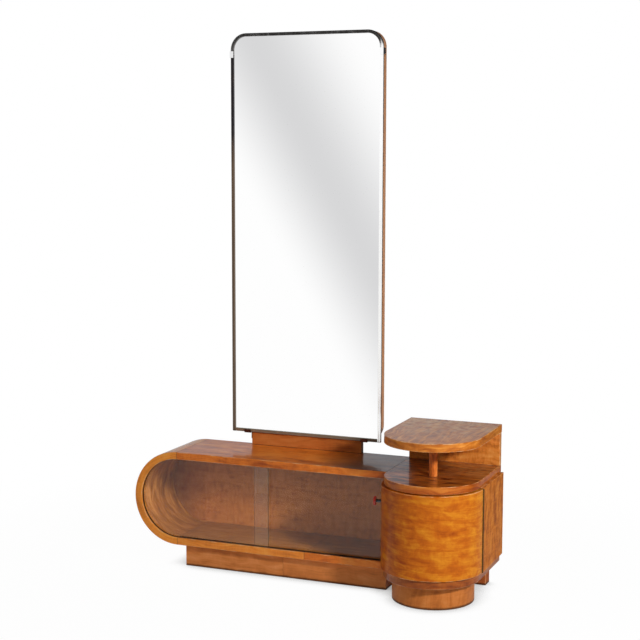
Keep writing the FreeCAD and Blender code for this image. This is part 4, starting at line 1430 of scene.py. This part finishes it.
@dataclass
class DrumCupboard(Assembly):
    """The drum: half-round boards, walls, inner shelf and the bent door on its long hinge."""

    centre: float = 1086.0
    board_radius: float = 157.0
    depth: float = 245.0
    low: float = 77.0
    high: float = 403.0
    board: float = 25.0
    arris: float = 1.6
    joint_reach: Pair = (3.0, 2.0)
    joint_ease: float = 0.8
    side_wall: float = 18.0
    side_arris: float = 1.0
    side_rounding: Pair = (0.3, 0.3)
    door_outer: float = 166.0
    door_inner: float = 148.0
    door_low: float = 104.5
    door_high: float = 375.5
    door_rounding: Pair = (1.0, 1.0)
    latch_gap: float = 2.0
    hinge_gap: float = 3.8
    hinge_x: float = 1252.0
    leaf_width: float = 15.0
    leaf_thickness: float = 1.5
    screw_margin: float = 20.0
    screw_count: int = 6
    knob_angle: float = math.radians(190.0)
    knob_height: float = 312.5
    stem_radius: float = 5.0
    stem_length: float = 18.0
    stem_sink: float = 0.8
    stem_rounding: Pair = (0.2, 0.2)
    disc_radius: float = 14.75
    disc_thickness: float = 8.0
    disc_rounding: Pair = (2.4, 2.4)

    def close_joint(self, shell: Shell) -> None:
        """Draws a board's rounded upper edge in to a fine line, without edge wear and painted highlight,
        where it meets the case.

        Args:
            shell: The board's mesh, which is changed.
        """
        x, y, z = shell.points.T * MM_PER_METRE
        past = x - (self.centre - self.board_radius - HALF_WIDTH)
        against_case = (past < self.joint_reach[0]) & (y + MID_DEPTH > self.joint_reach[1])
        shell.arris[against_case] = 0.0
        upper = against_case & (z > self.high - self.arris)
        drop = self.high - z
        shell.points[upper, 0] -= self.joint_ease * past[upper] / MM_PER_METRE
        shell.points[upper, 2] += self.joint_ease * drop[upper] / MM_PER_METRE

    def build(self) -> None:
        """Builds the boards, the side panel, the door, the knob and the hinge's screws."""
        plan = half_round_plan(self.centre, self.board_radius, self.depth)
        inside = (self.low + self.board, self.high - self.board)
        for side, z, seed, finish, face in (("bottom", self.low, 10.0, BASE_VENEER, BASE_VENEER),
                                            ("top", inside[1], 11.0, VENEER, DRUM_TOP_VENEER)):
            shell = sweep(plan, along_z(z), self.board, (self.arris, self.arris), sections=2,
                          grain=Grain.ROUND, seed=seed, cap_stain=1.0)
            self.close_joint(shell)
            upper = np.arange(len(shell.faces)) == len(shell.faces) - 1
            add_piece(f"drum_{side}_slab", shell, finish, Body.TABLE, f"drum_{side}_board",
                      zones=[(upper, face)])
        corners = rectangle(self.hinge_x - self.side_wall, self.hinge_x, self.hinge_gap, self.depth)
        shell = sweep(Ring.polygon(corners, self.side_arris), along_z(inside[0]), inside[1] - inside[0],
                      self.side_rounding, sections=4, seed=12.0)
        add_piece("drum_side", shell, SIDE_VENEER, Body.TABLE, "drum_side_panel")
        self.build_door()
        self.build_knob()
        self.build_hinge_screws()

    def build_door(self) -> None:
        """Builds the bent door from its wall's section in radius and height.

        The section at radius a runs from angle 180 + asin(latch gap / a) to 360 - asin(hinge gap / a)
        degrees, so that both end faces are flat.
        """
        corners = rectangle(self.door_inner, self.door_outer, self.door_low, self.door_high)
        length = math.pi * self.door_outer

        def bend(a: Array, b: Array, s: Array) -> Array:
            """Shares the path between the two end faces at each radius.

            Args:
                a, b: Coordinates of the outline.
                s: Distances along the path.

            Returns:
                Points in metres.
            """
            start = math.pi + np.arcsin(self.latch_gap / a)
            stop = 2 * math.pi - np.arcsin(self.hinge_gap / a)
            angle = start + (stop - start) * s / length
            return in_frame(self.centre + a * np.cos(angle), a * np.sin(angle), b)

        shell = sweep(Ring.polygon(corners, self.arris), bend, length, self.door_rounding, sections=110)
        add_piece("bent_door", shell, DOOR_VENEER, Body.DOOR, "curved_door")

    def knob_carry(self, start: float) -> Carry:
        """Carries an outline outwards along the knob's line.

        Args:
            start: The distance beyond the door's face.

        Returns:
            The carry, which sets the outline square to the line.
        """
        along = (math.cos(self.knob_angle), math.sin(self.knob_angle))

        def carry(a: Array, b: Array, s: Array) -> Array:
            """Sets a sideways and b upwards."""
            out = self.door_outer + start + s
            return in_frame(self.centre + out * along[0] - a * along[1], out * along[1] + a * along[0],
                            self.knob_height + b)

        return carry

    def build_knob(self) -> None:
        """Builds the turned stem and the disc with its rounded rim."""
        stem = sweep(Ring.circle(self.stem_radius, steps=32), self.knob_carry(-self.stem_sink),
                     self.stem_length + self.stem_sink, self.stem_rounding, sections=2)
        add_piece("knob_rod", stem, BLACK, Body.DOOR, "knob_stem")
        disc = sweep(Ring.circle(self.disc_radius, steps=56), self.knob_carry(self.stem_length),
                     self.disc_thickness, self.disc_rounding)
        add_piece("knob_button", disc, RED, Body.DOOR, "knob_disc")

    def build_hinge_screws(self) -> None:
        """Builds the flush slotted screw heads on both leaves."""
        x = self.hinge_x - (self.leaf_width + self.hinge_gap) / 2
        heights = np.linspace(self.door_low + self.screw_margin, self.door_high - self.screw_margin,
                              self.screw_count)
        face = self.hinge_gap - self.leaf_thickness
        for side, y, sense, body in (("panel", face, -1.0, Body.TABLE), ("door", -face, 1.0, Body.DOOR)):
            centres = np.stack(np.broadcast_arrays(x, y, heights), axis=1)
            screws = ScrewHeads(radius=2.6, rise=0.35, sense=sense)
            add_piece(f"hinge_{side}_screws", screws.shell(centres), BRASS, body)

    def dress(self) -> None:
        """Dresses the inner boards and the metal fittings."""
        dress_nodes(UPRIGHT_WOOD, "partition", "drum_back_panel")
        dress_nodes(INNER_WOOD, "drum_shelf", "shelf_bearers")
        dress_nodes(BRASS, "hinge_panel_leaf", "hinge_door_leaf", "hinge_pin", "catch_barrel",
                    "catch_strike")
        dress_nodes(STEEL, "catch_bolt")


@dataclass
class RaisedShelf(Assembly):
    """The half-round shelf above the drum, its back board and its post."""

    centre: float = 1086.0
    radius: float = 158.0
    depth: float = 245.0
    top: float = 539.0
    thickness: float = 27.0
    arris: float = 1.8
    foot: float = 403.0
    upright: float = 20.0
    upright_left: float = 929.0
    upright_right: float = 1243.0
    upright_arris: float = 0.8
    upright_rounding: Pair = (1.0, 1.0)
    post_radius: float = 13.5
    post_rounding: Pair = (0.4, 0.4)

    def build(self) -> None:
        """Builds the shelf, the back board and the post."""
        under = self.top - self.thickness
        plan = half_round_plan(self.centre, self.radius, self.depth)
        shell = sweep(plan, along_z(under), self.thickness, (self.arris, self.arris), sections=2,
                      grain=Grain.ROUND, turned_cap=True, seed=14.0)
        add_piece("raised_slab", shell, SHELF_VENEER, Body.TABLE, "raised_shelf")
        corners = rectangle(self.depth - self.upright, self.depth, self.foot, under)
        shell = sweep(Ring.polygon(corners, self.upright_arris), along_x(self.upright_left),
                      self.upright_right - self.upright_left, self.upright_rounding, sections=4, seed=15.0)
        add_piece("upright_board", shell, UPRIGHT_VENEER, Body.TABLE, "shelf_upright")

        def rise(a: Array, b: Array, s: Array) -> Array:
            """Runs up the post's axis."""
            return in_frame(self.centre + a, b, self.foot + s)

        post = sweep(Ring.circle(self.post_radius, steps=56), rise, under - self.foot, self.post_rounding,
                     sections=2, seed=16.0)
        add_piece("turned_post", post, POST_VENEER, Body.TABLE, "shelf_post")


@dataclass
class TallMirror(Assembly):
    """The mirror: silvered glass in a reeded frame on a wooden board, with clips, base and battens."""

    left: float = 273.0
    right: float = 829.0
    foot: float = 448.0
    top: float = 1830.0
    corner: float = 56.0
    board_front: float = 225.0
    board_back: float = 254.0
    board_inset: float = 1.0
    board_rounding: Pair = (0.3, 1.2)
    depth: float = 245.0
    frame_front: float = 215.0
    strip: float = 11.0
    wall: float = 4.0
    lip_back: float = 219.5
    bevel: float = 3.0
    reeds: int = 2
    reed: float = 0.45
    reed_points: int = 17
    rail_rounding: Pair = (0.2, 0.2)
    low_rail_rounding: Pair = (0.1, 0.1)
    bow_foot: float = 1759.0
    base_left: float = 345.0
    base_right: float = 757.0
    base_arris: float = 1.0
    case_top: float = 403.0
    batten_x: Pair = (401.0, 701.0)
    batten_width: float = 45.0
    batten_low: float = 77.0
    batten_high: float = 1153.0
    batten_back: float = 264.4
    batten_arris: float = 1.2
    batten_fit: float = 0.3
    batten_screws: tuple[float, ...] = (89.5, 390.5, 520.0, 1093.0)

    def section(self) -> Ring:
        """Gives the strip's section, inwards from the outer edge and back from the front.

        Two reeds lie on a bevel that falls back towards the outer edge: points at shares u of the bevel's
        width, each raised square to it by 4 reed v (1 - v), where v is the share of its own reed. A lip and
        a wall follow.

        Returns:
            The outline.
        """
        u = np.linspace(0.0, 1.0, self.reed_points)
        v = np.mod(self.reeds * u, 1.0)
        slope = self.bevel / self.strip
        rise = 4 * self.reed * v * (1 - v) / math.hypot(1.0, slope)
        foot = self.frame_front + self.reed + self.bevel * (1 - u)
        face = np.stack([self.strip * u - rise * slope, foot - rise], axis=1)
        rest = [(self.strip, self.lip_back), (self.wall, self.lip_back), (self.wall, self.board_front),
                (0.0, self.board_front)]
        return Ring.polygon(np.concatenate([face, rest]).tolist())

    def build(self) -> None:
        """Builds the frame's four strips, the wooden board, the base board and the battens."""
        ring = self.section()
        height = self.bow_foot - self.foot
        # Painted reflection: the left strip dark, the right strip bright.
        for side, edge, sense, finish in (("left", self.left, 1.0, BROWN_PLATE),
                                          ("right", self.right, -1.0, BRIGHT_PLATE)):
            rail = sweep(ring, lambda a, b, s: in_frame(edge + sense * a, b, self.foot + s), height,
                         self.rail_rounding, sections=4)
            add_piece(f"strip_{side}", rail, finish, Body.TABLE, f"frame_{side}_rail")
        start = self.left + self.strip
        rail = sweep(ring, lambda a, b, s: in_frame(start + s, b, self.foot + a),
                     self.right - self.strip - start, self.low_rail_rounding, sections=4)
        add_piece("strip_bottom", rail, GREY_PLATE, Body.TABLE, "frame_bottom_rail")
        self.build_bow(ring)
        self.build_boards()
        self.build_battens()

    def build_bow(self, ring: Ring) -> None:
        """Builds the bent top strip: up, a quarter turn, across, a quarter turn and down.

        Args:
            ring: The strip's section.
        """
        leg = self.top - self.corner - self.bow_foot
        quarter = math.pi / 2 * self.corner
        across = self.right - self.left - 2 * self.corner
        stops = np.cumsum([leg, quarter, across, quarter, leg])

        def route(a: Array, b: Array, s: Array) -> Array:
            """Follows the outer edge and sets the section inwards from it, along its inward normal.

            Args:
                a, b: Coordinates of the outline.
                s: Distances along the path.

            Returns:
                Points in metres.
            """
            first = np.clip((s - stops[0]) / self.corner, 0.0, math.pi / 2)
            second = np.clip((s - stops[2]) / self.corner, 0.0, math.pi / 2)
            turn = first + second
            run = np.clip(s - stops[1], 0.0, across)
            rise = np.clip(s, 0.0, leg) - np.clip(s - stops[3], 0.0, leg)
            radius = self.corner - a
            x = self.left + self.corner + run - radius * np.cos(turn)
            z = self.bow_foot + rise + radius * np.sin(turn)
            return in_frame(x, b, z)

        bow = sweep(ring, route, float(stops[-1]), self.rail_rounding, sections=120)
        add_piece("strip_bow", bow, BOW_PLATE, Body.TABLE, "frame_top_bow")

    def build_boards(self) -> None:
        """Builds the wooden board behind the glass and the base board, whose lowest edge, against the case
        top, is darkened as a painted contact shadow.
        """
        inset = self.board_inset
        corners = rectangle(self.left + inset, self.right - inset, self.foot, self.top - inset)
        ring = Ring.polygon(corners, self.corner - inset, steps=14)
        shell = sweep(ring, along_y(self.board_front), self.board_back - self.board_front,
                      self.board_rounding, sections=2, grain=Grain.ROUND, turned_cap=True, seed=17.0)
        add_piece("mirror_board", shell, BOARD_VENEER, Body.TABLE, "mirror_backboard")
        corners = rectangle(self.board_front, self.depth, self.case_top, self.foot)
        ring = Ring.polygon(corners, self.base_arris)
        # Painted shadow: the points along the lowest edge take the full darkening.
        low = ring.points[:, 1] < self.case_top + self.base_arris + NEAR
        shell = sweep(ring.stained(low.astype(float)), along_x(self.base_left),
                      self.base_right - self.base_left, (self.base_arris, self.base_arris), sections=4,
                      seed=18.0)
        add_piece("base_board", shell, FOOT_BOARD_VENEER, Body.TABLE, "mirror_base")

    def build_battens(self) -> None:
        """Builds the notched battens and their screws."""
        back, arris, fit = self.batten_back, self.batten_arris, self.batten_fit
        notched = [(self.depth, self.batten_low), (back, self.batten_low), (back, self.batten_high),
                   (self.board_back, self.batten_high), (self.board_back, self.foot),
                   (self.depth, self.foot)]
        ring = Ring.polygon(notched, (fit, arris, arris, fit, 0.0, fit))
        for side, x, seed in (("left", self.batten_x[0], 19.0), ("right", self.batten_x[1], 20.0)):
            shell = sweep(ring, along_x(x - self.batten_width / 2), self.batten_width, (arris, arris),
                          sections=2, grain=Grain.ROUND, turned_cap=True, seed=seed)
            add_piece(f"batten_{side}_strip", shell, BATTEN_WOOD, Body.TABLE, f"batten_{side}")
        centres = np.array([(x, back, z) for x in self.batten_x for z in self.batten_screws])
        screws = ScrewHeads(radius=4.2, rise=0.5, sense=1.0)
        add_piece("batten_screws", screws.shell(centres), STEEL, Body.TABLE)

    def dress(self) -> None:
        """Dresses the glass and the clips."""
        dress_nodes(SILVER, "mirror_glass")
        dress_nodes(BRIGHT_PLATE, "frame_left_clip", "frame_right_clip")
        dress_nodes(RED_PLATE, "base_clips")


@dataclass(frozen=True)
class Lamp:
    """A round soft lamp: watts, then width, place and target in metres, and whether gloss shows it."""

    name: str
    strength: float
    width: float
    place: Place
    target: Place = (0.0, 0.0, 0.4)
    gloss: bool = False
    tint: Place = (1.0, 0.97, 0.93)

    def hang(self) -> None:
        """Hangs the lamp, unseen by the camera."""
        data = bpy.data.lights.new(self.name, "AREA")
        data.shape = "DISK"
        data.size = self.width
        data.energy = self.strength
        data.color = self.tint
        light = bpy.data.objects.new(self.name, data)
        light.location = self.place
        aim = Vector(self.target) - Vector(self.place)
        light.rotation_euler = aim.to_track_quat("-Z", "Y").to_euler()
        light.visible_camera = False
        light.visible_glossy = self.gloss
        bpy.context.scene.collection.objects.link(light)


LAMPS = (Lamp("key", strength=49.0, width=0.25, place=(2.2, -1.3, 1.4), target=(0.3, 0.0, 0.35), gloss=True),
         Lamp("top", strength=8.0, width=1.6, place=(0.05, -0.8, 2.9)),
         Lamp("front_left", strength=8.0, width=0.8, place=(-1.6, -2.8, 1.5)),
         Lamp("left", strength=16.0, width=1.2, place=(-3.0, 0.2, 0.7)),
         Lamp("rear", strength=26.0, width=1.4, place=(-0.6, 2.8, 0.7), target=(0.0, 0.0, 0.7)))

WHITE = (1.0, 1.0, 1.0, 1.0)


@dataclass(frozen=True)
class View:
    """The photograph's camera: focal length in pixels, angles in radians, eye in design millimetres."""

    focal: float = 1422.95
    azimuth: float = 0.387
    pitch: float = 0.12
    roll: float = 0.002
    eye: Place = (2429.74, -4257.2, 1440.2)
    image: float = 640.0
    sensor: float = 36.0

    def axes(self) -> tuple[Array, Array, Array]:
        """Works out the camera's right, up and forward directions.

        Returns:
            Unit vectors: the level view is turned by the azimuth, pitched down, then rolled about its axis.
        """
        sin_a, cos_a = math.sin(self.azimuth), math.cos(self.azimuth)
        sin_p, cos_p = math.sin(self.pitch), math.cos(self.pitch)
        forward = np.array([-sin_a * cos_p, cos_a * cos_p, -sin_p])
        level = np.array([cos_a, sin_a, 0.0])
        upright = np.cross(level, forward)
        right = math.cos(self.roll) * level + math.sin(self.roll) * upright
        up = math.cos(self.roll) * upright - math.sin(self.roll) * level
        return right, up, forward

    def mirrored(self, pixel: Pair) -> Array:
        """Works out where a pixel on the mirror looks.

        Args:
            pixel: The pixel, from the top left.

        Returns:
            The direction of its ray, with y turned round.
        """
        right, up, forward = self.axes()
        across = (pixel[0] - self.image / 2) / self.focal
        rise = (self.image / 2 - pixel[1]) / self.focal
        ray = forward + across * right + rise * up
        return ray / np.linalg.norm(ray) * np.array([1.0, -1.0, 1.0])

    def add_camera(self) -> None:
        """Sets the camera at the photograph's viewpoint."""
        right, up, forward = self.axes()
        data = bpy.data.cameras.new("camera")
        data.sensor_fit = "HORIZONTAL"
        data.sensor_width = self.sensor
        data.lens = self.sensor * self.focal / self.image
        camera = bpy.data.objects.new("camera", data)
        turn = np.eye(4)
        turn[:3] = np.stack([right, up, -forward, in_frame(*np.array(self.eye))], axis=1)
        camera.matrix_world = Matrix(turn.tolist())
        bpy.context.scene.collection.objects.link(camera)
        bpy.context.scene.camera = camera


@dataclass(frozen=True)
class Surroundings:
    """The room that gloss and mirror show: tones, and the parts of a direction where each one fades."""

    band_pixels: tuple[Pair, Pair] = ((258.0, 48.0), (372.0, 265.0))
    band_reach: Pair = (0.056, 0.068)
    band_end: Pair = (-0.3, 0.0)
    band_tone: Screen = (216, 216, 217)
    window_pixel: Pair = (308.0, 235.0)
    window_cone: Pair = (math.cos(math.radians(38.0)), math.cos(math.radians(17.0)))
    corner_tone: Colour = (0.26, 0.24, 0.22, 1.0)
    corner_end: Pair = (-0.95, -0.75)
    left_tone: Colour = (0.84, 0.85, 0.86, 1.0)
    left_end: Pair = (-0.2, 0.0)
    ceiling_tone: Colour = (0.11, 0.11, 0.11, 1.0)
    ceiling_start: Pair = (0.12, 0.28)
    rear_left_tone: Colour = (0.55, 0.61, 0.65, 1.0)
    rear_left_end: Pair = (-0.35, -0.05)
    rear_tone: Colour = (0.04, 0.04, 0.04, 1.0)
    rear_start: Pair = (-0.1, 0.3)
    rear_ceiling_tone: Colour = (0.10, 0.10, 0.11, 1.0)
    rear_ceiling_start: Pair = (0.45, 0.8)
    fill_tone: Colour = (1.0, 0.985, 0.96, 1.0)
    fill_strength: float = 0.047

    def band(self, net: Net, way: Socket, view: View) -> Socket:
        """Wires the shaded band in the mirror.

        The band is the great circle through two mirrored pixels: the less a direction leans towards that
        circle's axis, the darker it is.

        Args:
            net: The world's net.
            way: The direction.
            view: The camera that the pixels belong to.

        Returns:
            The band's colour over white.
        """
        axis = np.cross(*(view.mirrored(pixel) for pixel in self.band_pixels))
        lean = net.lean(way, axis / np.linalg.norm(axis))
        low, high = self.band_reach
        band = net.times(net.remap(lean, (-low, 0.0)), net.remap(lean, (0.0, high), FALLING))
        band = net.times(band, net.remap(net.parts(way)[1], self.band_end, FALLING))
        return net.mix(band, WHITE, colour(self.band_tone))

    def room(self, net: Net, way: Socket, view: View) -> Socket:
        """Wires the whole room: its front with the mirror's window, its ceiling and its rear.

        Args:
            net: The world's net.
            way: The direction.
            view: The camera.

        Returns:
            The room's colour.
        """
        x, y, z = net.parts(way)
        front = net.mix(net.remap(x, self.corner_end), self.corner_tone, self.left_tone)
        front = net.mix(net.remap(x, self.left_end), front, WHITE)
        facing = net.lean(way, view.mirrored(self.window_pixel))
        front = net.mix(net.remap(facing, self.window_cone), front, self.band(net, way, view))
        front = net.mix(net.remap(z, self.ceiling_start), front, self.ceiling_tone)
        rear = net.mix(net.remap(x, self.rear_left_end), self.rear_left_tone, self.rear_tone)
        rear = net.mix(net.remap(z, self.rear_ceiling_start), rear, self.rear_ceiling_tone)
        return net.mix(net.remap(y, self.rear_start), front, rear)

    def build(self, view: View) -> None:
        """Builds the world: white to the camera, the room in reflections, a plain fill light otherwise.

        Args:
            view: The camera.
        """
        world = bpy.data.worlds.new("studio")
        bpy.context.scene.world = world
        world.use_nodes = True
        world.node_tree.nodes.clear()
        net = Net(world.node_tree)
        room = self.room(net, net.add("TexCoord").outputs["Generated"], view)
        path = net.add("LightPath").outputs
        plain = net.add("Background", {0: self.fill_tone, 1: self.fill_strength}).outputs[0]
        bright = net.add("Background", {0: WHITE, 1: 1.0}).outputs[0]
        glossy = net.add("Background", {0: room, 1: 1.0}).outputs[0]
        direct = net.less(1.0, path["Diffuse Depth"], clamp=True)
        seen = net.times(direct, net.math("MAXIMUM", path["Is Camera Ray"], path["Is Transmission Ray"]))
        lit = net.add("MixShader", {0: net.times(direct, path["Is Glossy Ray"]), 1: plain, 2: glossy})
        whole = net.add("MixShader", {0: seen, 1: lit.outputs[0], 2: bright}).outputs[0]
        net.add("OutputWorld", {"Surface": whole})


@dataclass(frozen=True)
class Floor:
    """A round pale floor that reads white, keeps the table's shadow and throws soft light upwards."""

    reach: float = 2.1
    rim_points: int = 96
    tones: tuple[Colour, Colour] = ((0.80, 0.80, 0.80, 1.0), (0.82, 0.82, 0.815, 1.0))
    cloud_limits: Pair = (0.3, 0.7)
    roughness: float = 0.9
    gloss: float = 0.1
    shadow_tone: Colour = (0.30, 0.29, 0.28, 1.0)
    shadow_distance: float = 0.095
    shadow_limits: Pair = (0.05, 0.75)
    shadow_samples: int = 8
    bounce: float = 0.24
    shown: Pair = (0.98, 1.0)
    shown_limits: Pair = (0.9, 1.9)
    behind_limits: Pair = (-0.25, 0.2)
    behind_dimming: float = 0.9

    def glow_share(self, net: SurfaceNet) -> Socket:
        """Wires how far the floor glows white instead of being lit.

        Seen directly, it glows nearly fully, a little less near the table, and far less behind the table in
        gloss. Otherwise it glows by the bounce alone.

        Args:
            net: The floor's net.

        Returns:
            The share.
        """
        path = net.add("LightPath").outputs
        seen = net.math("MAXIMUM", path["Is Camera Ray"], path["Is Glossy Ray"])
        seen = net.math("MAXIMUM", seen, path["Is Transmission Ray"])
        seen = net.times(seen, net.less(1.0, path["Diffuse Depth"], clamp=True))
        away = net.add("VectorMath", {0: net.place}, operation="LENGTH").outputs["Value"]
        shown = net.remap(away, self.shown_limits, self.shown)
        behind = net.times(net.remap(net.parts(net.place)[1], self.behind_limits), path["Is Glossy Ray"])
        shown = net.times(shown, net.less(1.0, net.times(behind, self.behind_dimming)))
        return net.plus(self.bounce, net.times(seen, net.less(shown, self.bounce)))

    def build(self) -> None:
        """Lays the floor. A point of its rim is at angle t: (reach cos t, reach sin t, 0)."""
        t = np.linspace(0.0, 2 * math.pi, self.rim_points + 1)[:-1]
        rim = np.stack([self.reach * np.cos(t), self.reach * np.sin(t), 0 * t], axis=1)
        mesh = bpy.data.meshes.new("floor")
        mesh.from_pydata(rim.tolist(), [], [list(range(len(rim)))])
        net = SurfaceNet("pale floor")
        cloud = net.remap(net.noise(net.place, FLOOR_NOISE), self.cloud_limits)
        net.feed(net.shader, {"Base Color": net.mix(cloud, *self.tones), "Roughness": self.roughness,
                              "Specular IOR Level": self.gloss})
        open_share = net.add("AmbientOcclusion", {"Distance": self.shadow_distance},
                             samples=self.shadow_samples).outputs["AO"]
        tone = net.mix(net.remap(open_share, self.shadow_limits), self.shadow_tone, WHITE)
        glow = net.add("Emission", {0: tone, 1: 1.0})
        both = net.add("MixShader", {0: self.glow_share(net), 1: net.shader.outputs[0], 2: glow.outputs[0]})
        net.feed(net.output, {"Surface": both.outputs[0]})
        mesh.materials.append(net.material)
        floor = bpy.data.objects.new("floor", mesh)
        bpy.context.scene.collection.objects.link(floor)


@dataclass
class Studio:
    """Camera, surroundings, floor and lamps."""

    view: View = View()
    surroundings: Surroundings = Surroundings()
    floor: Floor = Floor()
    lamps: tuple[Lamp, ...] = LAMPS

    def build(self) -> None:
        """Sets up the studio."""
        bpy.context.scene.view_settings.view_transform = "Standard"
        self.view.add_camera()
        self.surroundings.build(self.view)
        self.floor.build()
        for lamp in self.lamps:
            lamp.hang()


def main() -> None:
    """Builds and dresses every sub-assembly, then the studio."""
    logging.basicConfig(level=logging.INFO, format="%(name)s: %(message)s")
    for assembly in (GlazedCase(), Plinths(), DrumCupboard(), RaisedShelf(), TallMirror()):
        LOG.info("building %s", type(assembly).__name__)
        assembly.build()
        assembly.dress()
    Studio().build()


if __name__ == "__main__":
    main()
